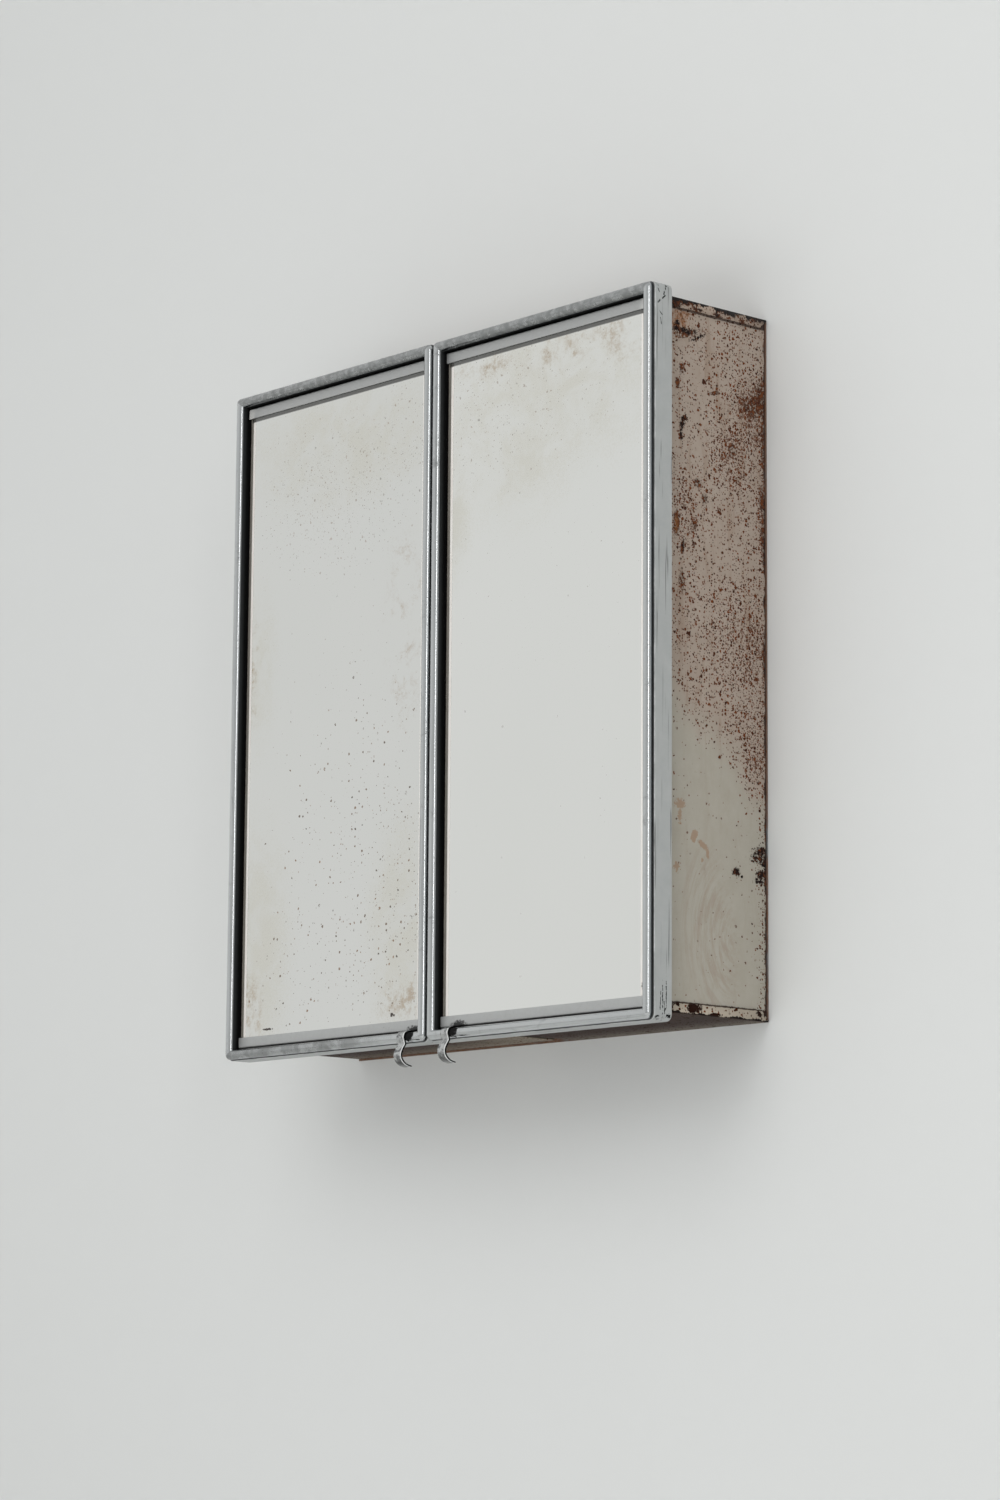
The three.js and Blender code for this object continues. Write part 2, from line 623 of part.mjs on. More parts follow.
for (const [side, hand] of [[-1, 'left'], [1, 'right']]) {
  place(cabinet, `side_panel_${hand}`, sidePanel(side), paintedSteel);
  place(cabinet, `hanger_plate_${hand}`, hangerPlate(side), bareRustySteel);
  place(cabinet, `catch_clip_${hand}`, catchClip(side), springSteel);
  SHELF_HEIGHTS.forEach((top, i) => {
    place(cabinet, `shelf_ledge_${SHELF_NAMES[i]}_${hand}`, shelfLedge(side, top), paintedSteel);
  });

  const door = new THREE.Group();
  door.position.set(side * doorCentreX, beadFootY, 0);
  cabinet.add(door);
  place(door, `door_frame_${hand}`, doorFrame(), frameMetal);
  place(door, `mirror_${hand}`, mirror(), mirrorGlass);
  place(door, `mirror_card_${hand}`, mirrorCard(), card);
  place(door, `mirror_channel_top_${hand}`, mirrorChannel(1), channelMetal);
  place(door, `mirror_channel_bottom_${hand}`, mirrorChannel(-1), channelMetal);
  place(door, `door_back_plate_${hand}`, backPlate(), paintedSteel);
  place(door, `pull_tab_${hand}`, pullTab(side), springSteel);
  place(door, `catch_tongue_${hand}`, catchTongue(side), springSteel);
  place(door, `bumper_upper_${hand}`, bumper(side, bodyTop - FRONT_RETURN / 2), rubber);
  place(door, `bumper_lower_${hand}`, bumper(side, bodyBottom + SEAM_STEP + FRONT_RETURN / 2), rubber);

  HINGE_HEIGHTS.forEach((z, i) => {
    place(cabinet, `hinge_leaf_body_${HINGE_NAMES[i]}_${hand}`, cabinetLeaf(side, z), hingeSteel);
    place(cabinet, `hinge_pin_${HINGE_NAMES[i]}_${hand}`, hingePin(side, z), hingeSteel);
    place(door, `hinge_leaf_door_${HINGE_NAMES[i]}_${hand}`, doorLeaf(side, z), hingeSteel);
  });
}

export default cabinet;
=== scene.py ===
"""Looks for the mirrored wall cabinet: folded steel body, beaded metal door frames, bevelled mirrors."""

import math

import bmesh
import bpy
from mathutils import Matrix, Vector


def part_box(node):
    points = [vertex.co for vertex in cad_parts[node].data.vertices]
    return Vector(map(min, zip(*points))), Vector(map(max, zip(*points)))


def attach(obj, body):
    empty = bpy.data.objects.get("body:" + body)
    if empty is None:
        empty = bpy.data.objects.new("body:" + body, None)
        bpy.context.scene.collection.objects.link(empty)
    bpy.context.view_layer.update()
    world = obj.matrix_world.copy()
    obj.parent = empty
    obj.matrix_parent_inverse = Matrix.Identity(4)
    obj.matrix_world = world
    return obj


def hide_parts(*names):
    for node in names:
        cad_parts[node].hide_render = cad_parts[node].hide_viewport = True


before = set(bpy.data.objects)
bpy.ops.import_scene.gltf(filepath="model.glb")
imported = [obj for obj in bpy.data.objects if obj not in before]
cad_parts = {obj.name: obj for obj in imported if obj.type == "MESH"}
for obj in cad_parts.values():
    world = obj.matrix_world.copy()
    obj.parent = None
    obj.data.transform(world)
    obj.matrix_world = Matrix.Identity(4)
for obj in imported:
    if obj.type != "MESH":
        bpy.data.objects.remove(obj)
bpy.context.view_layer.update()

MM = 0.001
FIT = 0.3 * MM
HANDS = (("left", -1), ("right", 1))

# ---------------------------------------------------------------- places and sizes
door_low, door_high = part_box("door_frame_right")
DOOR_WIDTH = door_high.x - door_low.x
DOOR_HALF_WIDTH = DOOR_WIDTH / 2
DOOR_HALF_HEIGHT = (door_high.z - door_low.z) / 2
DOOR_CENTRE_X = (door_low.x + door_high.x) / 2
BEAD_RADIUS = 4.25 * MM
BEAD_INSET = 0.9 * MM
BEAD_FOOT_Y = door_low.y + BEAD_RADIUS
BAND_FRONT_Y = BEAD_FOOT_Y + 2.1 * MM
BAND_SHEET = 1.5 * MM
BAR_DEPTH, BAR_INSET = 12 * MM, 1.6 * MM         # bar behind the bead
BAND_CURL = 0.35 * MM
DOOR_REAR_Y = door_high.y
GLASS_BEVEL, GLASS_BEVEL_DEPTH = 8 * MM, 0.9 * MM
INNER_HALF_WIDTH = DOOR_HALF_WIDTH - BEAD_INSET - 2 * BEAD_RADIUS
INNER_HALF_HEIGHT = DOOR_HALF_HEIGHT - BEAD_INSET - 2 * BEAD_RADIUS
BODY_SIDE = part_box("side_panel_right")[1].x
BODY_FRONT_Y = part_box("side_panel_right")[0].y
BODY_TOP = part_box("top_panel")[1].z
BODY_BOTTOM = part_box("bottom_panel_right")[0].z
FLANGE_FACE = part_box("top_panel")[1].x
PANEL_REAR_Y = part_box("top_panel")[1].y
SHEET = 1.2 * MM
FRONT_RETURN, REAR_RETURN = 10 * MM, 14 * MM     # folded inwards round the body's openings
FLANGE_HEIGHT, FLANGE_SETBACK = 9 * MM, 9 * MM
FLANGE_SWEEP, FLANGE_MITRE = 8.2 * MM, 7.4 * MM
LIP_REACH = BODY_SIDE - SHEET - FRONT_RETURN - FIT
SEAM = (8 * MM, 32 * MM)                         # the right bottom panel steps up between these
SEAM_LIFT = 3.3 * MM
SEAM_ROUNDING = 5 * MM
FOLD_ROUNDING = 1.2 * MM
CLOSE = 1e-6                                     # nearer than this is the same place


# ---------------------------------------------------------------- shader helpers
def put(tree, kind, inputs=None, **settings):
    """Adds a node. Inputs are numbers, colours or the sockets that feed them."""
    made = tree.nodes.new("ShaderNode" + kind)
    for name, value in settings.items():
        setattr(made, name, value)
    for name, value in (inputs or {}).items():
        if isinstance(value, bpy.types.NodeSocket):
            tree.links.new(value, made.inputs[name])
        elif value is not None:
            made.inputs[name].default_value = value
    return made


def calc(tree, operation, a, b=None, c=None, clamp=False):
    return put(tree, "Math", {0: a, 1: b, 2: c}, operation=operation, use_clamp=clamp).outputs[0]


def plus(tree, a, b):
    return calc(tree, "ADD", a, b)


def minus(tree, a, b, clamp=False):
    return calc(tree, "SUBTRACT", a, b, clamp=clamp)


def times(tree, a, b):
    return calc(tree, "MULTIPLY", a, b)


def scaled(tree, value, factor, offset):
    return calc(tree, "MULTIPLY_ADD", value, factor, offset)


def absolute(tree, value):
    return calc(tree, "ABSOLUTE", value)


def larger(tree, a, b):
    return calc(tree, "MAXIMUM", a, b)


def smaller(tree, a, b):
    return calc(tree, "MINIMUM", a, b)


def fade(tree, value, start, end, low=0.0, high=1.0):
    """Goes smoothly from low to high as the value goes from start to end."""
    return put(tree, "MapRange", {"Value": value, "From Min": start, "From Max": end, "To Min": low,
                                  "To Max": high}, interpolation_type="SMOOTHSTEP").outputs[0]


def blend_colour(tree, factor, first, second):
    return put(tree, "Mix", {0: factor, 6: first, 7: second}, data_type="RGBA", clamp_factor=True).outputs[2]


def blend_value(tree, factor, first, second):
    return put(tree, "Mix", {0: factor, 2: first, 3: second}, data_type="FLOAT", clamp_factor=True).outputs[0]


def blend_vector(tree, factor, first, second):
    return put(tree, "Mix", {0: factor, 4: first, 5: second}, data_type="VECTOR").outputs[1]


def stretched(tree, vector, scale):
    return put(tree, "Mapping", {"Vector": vector, "Scale": scale}).outputs[0]


def noise(tree, vector, scale, detail=3.0, roughness=0.55, distortion=0.0):
    return put(tree, "TexNoise", {"Vector": vector, "Scale": scale, "Detail": detail, "Roughness": roughness,
                                  "Distortion": distortion}).outputs[0]


def shared_group(name, inputs, outputs):
    """A node group. Its inputs are given as (name, kind, value) and its outputs as (name, kind)."""
    tree = bpy.data.node_groups.new(name, "ShaderNodeTree")
    for label, kind, value in inputs:
        socket = tree.interface.new_socket(label, in_out="INPUT", socket_type="NodeSocket" + kind)
        if value is not None:
            socket.default_value = value
    for label, kind in outputs:
        tree.interface.new_socket(label, in_out="OUTPUT", socket_type="NodeSocket" + kind)
    return tree, tree.nodes.new("NodeGroupInput").outputs, tree.nodes.new("NodeGroupOutput").inputs


def use(tree, group, **inputs):
    made = tree.nodes.new("ShaderNodeGroup")
    made.node_tree = group
    for name, value in inputs.items():
        name = name.replace("_", " ")
        if isinstance(value, bpy.types.NodeSocket):
            tree.links.new(value, made.inputs[name])
        else:
            made.inputs[name].default_value = value
    return made.outputs


# ---------------------------------------------------------------- shared effects
def make_specks():
    """Cloudy grain with a sharp edge. Cover is how much of the surface it takes."""
    tree, given, out = shared_group("specks", [("Vector", "Vector", None), ("Scale", "Float", 500.0),
                                               ("Cover", "Float", 0.3), ("Softness", "Float", 0.05)],
                                    [("Mask", "Float")])
    fine = noise(tree, given["Vector"], given["Scale"], 4.0, 0.62)
    level = scaled(tree, given["Cover"], -0.42, 0.78)
    high = plus(tree, level, given["Softness"])
    tree.links.new(fade(tree, fine, level, high), out["Mask"])
    return tree


def make_dots():
    """Separate dots of uneven size in the vector's XY plane. Density is the share of places that have one."""
    tree, given, out = shared_group("dots", [("Vector", "Vector", None), ("Scale", "Float", 400.0),
                                             ("Density", "Float", 0.5), ("Size", "Float", 0.4),
                                             ("Wobble", "Float", 0.25)],
                                    [("Mask", "Float"), ("Tone", "Float")])
    sized = put(tree, "VectorMath", {0: given["Vector"], "Scale": given["Scale"]},
                operation="SCALE").outputs[0]
    shaky = put(tree, "TexNoise", {"Vector": sized, "Scale": 1.7, "Detail": 2.0}).outputs["Color"]
    shift = put(tree, "VectorMath", {0: shaky, 1: (0.5, 0.5, 0.5)}, operation="SUBTRACT").outputs[0]
    shift = put(tree, "VectorMath", {0: shift, "Scale": given["Wobble"]}, operation="SCALE").outputs[0]
    moved = put(tree, "VectorMath", {0: sized, 1: shift}, operation="ADD").outputs[0]
    cell = put(tree, "TexVoronoi", {"Vector": moved, "Scale": 1.0}, feature="F1",
               voronoi_dimensions="2D").outputs
    chance, size, tone = put(tree, "SeparateXYZ", {0: cell["Color"]}).outputs
    there = fade(tree, minus(tree, given["Density"], chance), 0.0, 0.02)
    radius = times(tree, given["Size"], scaled(tree, times(tree, size, size), 0.7, 0.3))
    inside = fade(tree, minus(tree, radius, cell["Distance"]), -0.03, 0.05)
    tree.links.new(times(tree, there, inside), out["Mask"])
    tree.links.new(tone, out["Tone"])
    return tree


def make_scratches():
    """Fine lines along the first axis of the vector that is given, already stretched along it."""
    tree, given, out = shared_group("fine scratches", [("Vector", "Vector", None), ("Scale", "Float", 900.0),
                                                       ("Cover", "Float", 0.3)], [("Mask", "Float")])
    lines = noise(tree, given["Vector"], given["Scale"], 2.0, 0.5, 0.3)
    level = scaled(tree, given["Cover"], -0.3, 0.72)
    tree.links.new(fade(tree, lines, level, plus(tree, level, 0.06)), out["Mask"])
    return tree


def make_spot():
    """One ragged mark with a place and a size along each axis. It may be sharp or fade out slowly."""
    tree, given, out = shared_group("ragged spot",
                                    [("Vector", "Vector", None), ("Centre", "Vector", (0, 0, 0)),
                                     ("Size", "Vector", (1, 1, 1)), ("Raggedness", "Float", 0.5),
                                     ("Turn", "Float", 0.0), ("Softness", "Float", 0.1)], [("Mask", "Float")])
    rough = noise(tree, given["Vector"], 470.0, 5.0, 0.72)
    away = put(tree, "VectorMath", {0: given["Vector"], 1: given["Centre"]}, operation="SUBTRACT").outputs[0]
    turned = put(tree, "VectorRotate", {"Vector": away, "Angle": given["Turn"]},
                 rotation_type="X_AXIS").outputs[0]
    sized = put(tree, "VectorMath", {0: turned, 1: given["Size"]}, operation="DIVIDE").outputs[0]
    far = put(tree, "VectorMath", {0: sized}, operation="LENGTH").outputs["Value"]
    wander = times(tree, minus(tree, rough, 0.5), given["Raggedness"])
    reach = scaled(tree, wander, 4.0, far)
    tree.links.new(fade(tree, reach, plus(tree, 1.0, given["Softness"]), minus(tree, 1.0, given["Softness"])),
                   out["Mask"])
    return tree


SPECKS = make_specks()
DOTS = make_dots()
SCRATCHES = make_scratches()
SPOT = make_spot()


def surface(name):
    """A new material, with its tree, its Principled node, the coordinates and their three parts."""
    material = bpy.data.materials.new(name)
    material.use_nodes = True
    tree = material.node_tree
    shader = tree.nodes["Principled BSDF"]
    place = put(tree, "TexCoord").outputs["Object"]
    parts = put(tree, "SeparateXYZ", {0: place}).outputs
    return material, tree, shader, place, parts


def feed(tree, shader, **sockets):
    for name, value in sockets.items():
        name = name.replace("_", " ")
        if isinstance(value, bpy.types.NodeSocket):
            tree.links.new(value, shader.inputs[name])
        else:
            shader.inputs[name].default_value = value


def bumped(tree, shader, height, distance):
    made = put(tree, "Bump", {"Height": height, "Distance": distance, "Strength": 1.0})
    tree.links.new(made.outputs[0], shader.inputs["Normal"])


def most(tree, masks):
    result = masks[0]
    for mask in masks[1:]:
        result = larger(tree, result, mask)
    return result


# ---------------------------------------------------------------- materials
RUST_DARK = (0.022, 0.008, 0.005, 1)
RUST_BROWN = (0.075, 0.026, 0.013, 1)
RUST_RED = (0.155, 0.047, 0.015, 1)
RUST_ORANGE = (0.27, 0.105, 0.035, 1)
TAN_PRIMER = (0.34, 0.215, 0.135, 1)
BARE_BLACK = (0.012, 0.005, 0.004, 1)
RUST_DOT_DARK = (0.040, 0.011, 0.005, 1)
RUST_DOT_RED = (0.165, 0.046, 0.014, 1)


def placed_marks(tree, place, marks, softness=0.12):
    """All of several ragged marks on a side: (y, z, half length in y, in z, turn, raggedness), in mm."""
    return most(tree, [use(tree, SPOT, Vector=place, Centre=(BODY_SIDE, y * MM, z * MM),
                           Size=(0.006, ry * MM, rz * MM), Turn=math.radians(turn), Raggedness=ragged,
                           Softness=softness)["Mask"] for y, z, ry, rz, turn, ragged in marks])


def rust_dots(tree, place, density, paint):
    """Rust coming through the paint in dots of three sizes, each with a tone of its own."""
    x, y, z = put(tree, "SeparateXYZ", {0: place}).outputs
    flat = put(tree, "CombineXYZ", {0: scaled(tree, x, 0.6, y), 1: plus(tree, z, x)}).outputs[0]
    masks = []
    for scale, share, size, wobble in ((520.0, 1.0, 0.52, 0.9), (330.0, 0.75, 0.47, 1.0),
                                       (170.0, 0.22, 0.36, 1.4)):
        dots = use(tree, DOTS, Vector=flat, Scale=scale, Density=times(tree, density, share), Size=size,
                   Wobble=wobble)
        tone = blend_colour(tree, dots["Tone"], RUST_DOT_DARK, RUST_DOT_RED)
        paint = blend_colour(tree, dots["Mask"], paint, tone)
        masks.append(dots["Mask"])
    return paint, most(tree, masks)


def wipe_marks(tree, place, y, z, paint):
    """Arcs left by a cloth, round a point near the rear edge in the panel's lower part."""
    across, above = scaled(tree, y, -0.9, -0.031), scaled(tree, z, 0.62, 0.141)
    radius = calc(tree, "SQRT", plus(tree, times(tree, across, across), times(tree, above, above)))
    turn = calc(tree, "ARCTAN2", above, across)
    ringed = put(tree, "CombineXYZ", {0: radius, 1: times(tree, turn, 0.006)}).outputs[0]
    arcs = noise(tree, ringed, 210.0, 5.0, 0.72)
    window = use(tree, SPOT, Vector=place, Centre=(BODY_SIDE, -0.067, -0.225), Size=(0.01, 0.027, 0.062),
                 Raggedness=0.15, Turn=math.radians(-8), Softness=0.45)["Mask"]
    paint = blend_colour(tree, times(tree, window, fade(tree, arcs, 0.46, 0.62, 0.0, 0.5)), paint,
                         (0.345, 0.27, 0.215, 1))
    return blend_colour(tree, times(tree, window, fade(tree, arcs, 0.50, 0.38, 0.0, 0.35)), paint,
                        (0.47, 0.455, 0.41, 1))


def make_side_paint():
    """Cream paint gone grey, with rust in dots and patches, mostly in the upper part and to the rear."""
    material, tree, shader, place, (x, y, z) = surface("aged cream paint, sides")
    low_noise = noise(tree, place, 15.0, 4.0, 0.62)
    mid_noise = noise(tree, place, 60.0, 5.0, 0.65)
    fine_noise = noise(tree, place, 240.0, 4.0, 0.7)
    streak = noise(tree, stretched(tree, place, (1, 1, 0.16)), 90.0, 5.0, 0.65, 0.6)
    border = plus(tree, scaled(tree, y, 0.85, z), scaled(tree, low_noise, 0.10, -0.05))
    height = fade(tree, border, -0.145, -0.085)
    rear = fade(tree, y, -0.085, -0.004)
    lower_paint = blend_colour(tree, mid_noise, (0.37, 0.335, 0.275, 1), (0.46, 0.435, 0.38, 1))
    upper_paint = blend_colour(tree, mid_noise, (0.33, 0.26, 0.208, 1), (0.45, 0.378, 0.322, 1))
    paint = blend_colour(tree, height, lower_paint, upper_paint)
    paint = wipe_marks(tree, place, y, z, paint)
    # dirt that has run down, and warm stains round the rust
    run = times(tree, fade(tree, streak, 0.50, 0.68), scaled(tree, height, 0.35, 0.10))
    paint = blend_colour(tree, run, paint, (0.26, 0.17, 0.115, 1))
    cluster = fade(tree, low_noise, 0.40, 0.66)
    dense = placed_marks(tree, place, [(-14, 212, 26, 34, 0, 0.25), (-4, 130, 9, 50, 0, 0.3),
                                       (-42, 168, 26, 30, 20, 0.3), (-95, 120, 16, 34, 0, 0.3),
                                       (-30, 20, 40, 42, 0, 0.3), (-18, -60, 24, 34, 0, 0.3)], 0.55)
    amount = scaled(tree, dense, 0.42, scaled(tree, cluster, 0.18, times(tree, rear, 0.10)))
    density = times(tree, plus(tree, amount, 0.26), scaled(tree, height, 0.92, 0.08))
    density = larger(tree, density, fade(tree, y, -0.018, -0.002, 0.0, 0.55))
    clumps = use(tree, SPECKS, Vector=place, Scale=360.0, Cover=scaled(tree, density, 1.5, -0.62),
                 Softness=0.07)["Mask"]
    paint = blend_colour(tree, times(tree, clumps, 0.8), paint,
                         blend_colour(tree, fine_noise, RUST_DARK, RUST_RED))
    paint, dots = rust_dots(tree, place, density, paint)
    patches = placed_marks(tree, place, [(-6, 226, 8, 16, 0, 1.0), (-18, 217, 12, 8, 0, 1.3),
                                         (-3, 190, 4, 26, 0, 0.6), (-3, 108, 4, 22, 0, 0.7),
                                         (-5, 140, 4, 10, 0, 0.7), (-80, 143, 4.5, 4, 0, 0.8),
                                         (-104, 106, 3.6, 11, 0, 0.7), (-84, 108, 4, 4.5, 0, 0.8),
                                         (-97, 88, 2.6, 6, 8, 0.7), (-98, 60, 3, 9, 0, 0.9),
                                         (-3, 10, 3, 20, 0, 0.8), (-72, 132, 3, 5, 0, 0.9),
                                         (-60, 222, 6, 1.8, -14, 0.7), (-92, 267, 15, 4, -14, 1.3),
                                         (-98, 236, 3, 5, 0, 1.3), (-103, 223, 2.4, 4, 0, 0.8),
                                         (-40, 178, 5, 5, 0, 0.9)], 0.3)
    tone = blend_colour(tree, fade(tree, fine_noise, 0.46, 0.62), RUST_DARK, RUST_RED)
    paint = blend_colour(tree, times(tree, patches, fade(tree, fine_noise, 0.42, 0.52, 0.15, 1.0)), paint,
                         tone)
    orange = placed_marks(tree, place, [(-101, 275, 9, 9, 0, 1.0), (-97, 281, 7, 3, -14, 1.2),
                                        (-104, 106, 1.8, 7, 0, 0.9)], 0.4)
    rusting = blend_colour(tree, fade(tree, fine_noise, 0.50, 0.68), RUST_ORANGE, RUST_DARK)
    paint = blend_colour(tree, times(tree, orange, fade(tree, fine_noise, 0.38, 0.55, 0.25, 0.95)), paint,
                         rusting)
    tan = placed_marks(tree, place, [(-100, -123, 5, 4, 0, 0.9), (-100, -132, 2, 6, 0, 0.9),
                                     (-84, -147, 3.2, 5.5, 20, 0.5), (-74, -154, 6, 2.6, 32, 0.5),
                                     (-69, -160, 1.6, 4, 0, 0.5), (-75, -166, 1.2, 2, 0, 0.6),
                                     (-104, -174, 3, 4, 0, 0.9)])
    paint = blend_colour(tree, times(tree, tan, 0.7), paint, TAN_PRIMER)
    # darker along the rear edge, where the side meets the wall
    dark_rear_edge = fade(tree, scaled(tree, mid_noise, 0.010, y), 0.0002, 0.0024)
    bare = placed_marks(tree, place, [(-98, 268.5, 9, 2.2, -6, 1.7), (-103, 270.5, 3, 4.5, 0, 1.6),
                                      (-90, 267.8, 8, 1.3, -14, 1.8), (-80, 265, 7, 1.2, -24, 1.8),
                                      (-97.7, 189, 2.0, 6, 10, 1.3), (-95, 195, 3, 2.6, 0, 1.5),
                                      (-97, 88, 1.2, 4.5, 0, 1.2), (-98, 180, 1.6, 3, 0, 1.5),
                                      (-8, -153, 7, 3.4, 0, 1.5), (-11, -159, 7, 3.0, 0, 1.6),
                                      (-5, -163, 3, 3, 0, 1.2), (-37, -172, 4.2, 3.4, 0, 0.9),
                                      (-30, -175.5, 1.5, 1.2, 0, 0.5), (-7, -172, 5, 4.2, 0, 1.4),
                                      (-10, -178, 4, 1.6, 0, 1.4), (-13, -176, 1.6, 1.4, 0, 1.0),
                                      (-1, -168, 3, 18, 0, 0.9)])
    outer_face = fade(tree, absolute(tree, x), BODY_SIDE - 0.0010, BODY_SIDE - 0.0006)
    bare = larger(tree, bare, times(tree, dark_rear_edge, outer_face))
    paint = blend_colour(tree, bare, paint, blend_colour(tree, fade(tree, fine_noise, 0.48, 0.68), BARE_BLACK,
                                                         RUST_RED))
    # a dark line just below the edges of the top and bottom flanges: painted shadow of the flange edge, with
    # rust
    under_lap = most(tree, [fade(tree, scaled(tree, fine_noise, 0.0030, from_fold), 0.0116, 0.0106)
                            for from_fold in (minus(tree, BODY_TOP, z), minus(tree, z, BODY_BOTTOM))])
    paint = blend_colour(tree, times(tree, under_lap, 0.9), paint, RUST_DARK)
    rusty = most(tree, [dots, patches, bare])
    feed(tree, shader, Base_Color=paint, Roughness=blend_value(tree, rusty, 0.46, 0.85))
    shader.inputs["Specular IOR Level"].default_value = 0.2
    relief = scaled(tree, dots, 0.5, times(tree, bare, -0.9))
    relief = scaled(tree, patches, times(tree, fine_noise, 0.8), relief)
    bumped(tree, shader, scaled(tree, mid_noise, 0.4, relief), 0.00016)
    return material


def flange_outline(tree, y, from_fold):
    """How far a place on a flange lies inside its free edge, mitred rear end or swept front end."""
    along_lip = minus(tree, FLANGE_HEIGHT, from_fold)
    mitre = plus(tree, minus(tree, PANEL_REAR_Y, y), minus(tree, along_lip, FLANGE_MITRE))
    sweep = [larger(tree, minus(tree, FLANGE_SWEEP, along), 0.0)
             for along in (along_lip, minus(tree, y, BODY_FRONT_Y + FLANGE_SETBACK))]
    sweep = minus(tree, FLANGE_SWEEP,
                  calc(tree, "SQRT", plus(tree, times(tree, sweep[0], sweep[0]),
                                          times(tree, sweep[1], sweep[1]))))
    return smaller(tree, smaller(tree, along_lip, mitre), sweep)


def underside_rust(tree, place, y, low_noise, mid_noise):
    """Brown rust in long streaks, darker towards the front and along the wall, and a black patch of painted
    shadow at the open lap.
    """
    streaks = noise(tree, stretched(tree, place, (0.12, 1, 1)), 120.0, 5.0, 0.7, 0.4)
    rust = blend_colour(tree, streaks, (0.013, 0.006, 0.004, 1), (0.062, 0.029, 0.019, 1))
    rust = blend_colour(tree, use(tree, SPECKS, Vector=place, Scale=300.0, Cover=0.35, Softness=0.1)["Mask"],
                        rust, (0.080, 0.046, 0.033, 1))
    front = fade(tree, scaled(tree, low_noise, 0.02, y), -0.104, -0.112)
    rust = blend_colour(tree, times(tree, front, 0.7), rust, (0.016, 0.011, 0.009, 1))
    # black at the open lap: painted shadow in the gap of the stepped seam
    gap = use(tree, SPOT, Vector=place, Centre=(-0.002, -0.014, BODY_BOTTOM + 0.001),
              Size=(0.020, 0.014, 0.01), Raggedness=0.3, Softness=0.25)["Mask"]
    rust = blend_colour(tree, gap, rust, (0.006, 0.005, 0.004, 1))
    wall_edge = fade(tree, scaled(tree, mid_noise, 0.004, y), -0.0035, -0.001)
    return blend_colour(tree, wall_edge, rust, (0.010, 0.007, 0.006, 1))


def on_right_flange(tree, x):
    return fade(tree, x, FLANGE_FACE - 1.3 * MM, FLANGE_FACE - 0.7 * MM)


def make_panel_paint(name, paint_light, paint_dark, density, chips, edge_wear, is_bottom):
    """Paint of the folded top and bottom panels: chipped black along the folds, rusty on the underside."""
    material, tree, shader, place, (x, y, z) = surface(name)
    mid_noise = noise(tree, place, 70.0, 5.0, 0.65)
    low_noise = noise(tree, place, 16.0, 4.0, 0.6)
    fine_noise = noise(tree, place, 260.0, 4.0, 0.7)
    paint = blend_colour(tree, mid_noise, paint_dark, paint_light)
    paint, dots = rust_dots(tree, place, scaled(tree, low_noise, 0.5, density - 0.25), paint)
    from_fold = minus(tree, z, BODY_BOTTOM) if is_bottom else minus(tree, BODY_TOP, z)
    outline = flange_outline(tree, y, from_fold)
    # a dark line along the flange's free edge: painted shadow of the lapping edge, with rust
    seam = fade(tree, scaled(tree, fine_noise, -0.0018, outline), 0.0003, -0.0004)
    on_side = fade(tree, absolute(tree, x), FLANGE_FACE - 0.0008, FLANGE_FACE - 0.0003)
    paint = blend_colour(tree, times(tree, seam, times(tree, on_side, 0.9)), paint, RUST_DARK)
    wear = times(tree, minus(tree, noise(tree, place, 85.0, 5.0, 0.72), 0.5), chips)
    side = minus(tree, absolute(tree, x), FLANGE_FACE - 0.0030)
    across = minus(tree, edge_wear, from_fold)
    fold = times(tree, fade(tree, side, 0.0, 0.0006), fade(tree, plus(tree, across, wear), -0.0002, 0.0004))
    if not is_bottom:
        marks = placed_marks(tree, place, [(-106, 290, 7, 5.5, 0, 1.3), (-94, 292.5, 13, 2.6, 0, 1.5),
                                           (-82, 288, 5, 2, 0, 1.5), (-46, 292.5, 11, 2.4, 0, 1.5),
                                           (-58, 288, 4, 2, 0, 1.5), (-14, 292, 7, 2.2, 0, 1.4),
                                           (-30, 288, 3, 2, 0, 1.5)], 0.2)
        marks = times(tree, marks, on_right_flange(tree, x))
        paint = blend_colour(tree, marks, paint, blend_colour(tree, fade(tree, fine_noise, 0.42, 0.68),
                                                              RUST_DARK, RUST_RED))
    paint = blend_colour(tree, fold, paint, (0.014, 0.010, 0.009, 1))
    if is_bottom:
        facing = put(tree, "SeparateXYZ", {0: put(tree, "TexCoord").outputs["Normal"]}).outputs[2]
        under = fade(tree, facing, -0.5, -0.9)
        rust = underside_rust(tree, place, y, low_noise, mid_noise)
        paint = blend_colour(tree, under, paint, rust)
        marks = placed_marks(tree, place, [(-86, -286, 8, 5, 0, 0.6), (-84, -281, 3, 3, 0, 0.8),
                                           (-44, -281, 3, 2.4, 0, 0.8), (-12, -286, 3.5, 2.2, 30, 0.8),
                                           (-5, -284, 2.2, 4, 0, 0.8), (-62, -290, 6, 1.6, 0, 0.9),
                                           (-104, -283, 3, 3, 0, 0.9)])
        marks = times(tree, marks, on_right_flange(tree, x))
        paint = blend_colour(tree, marks, paint, RUST_DARK)
    feed(tree, shader, Base_Color=paint, Roughness=blend_value(tree, dots, 0.5, 0.85))
    shader.inputs["Specular IOR Level"].default_value = 0.03 if is_bottom else 0.2
    bumped(tree, shader, scaled(tree, dots, 0.6, mid_noise), 0.00014)
    return material


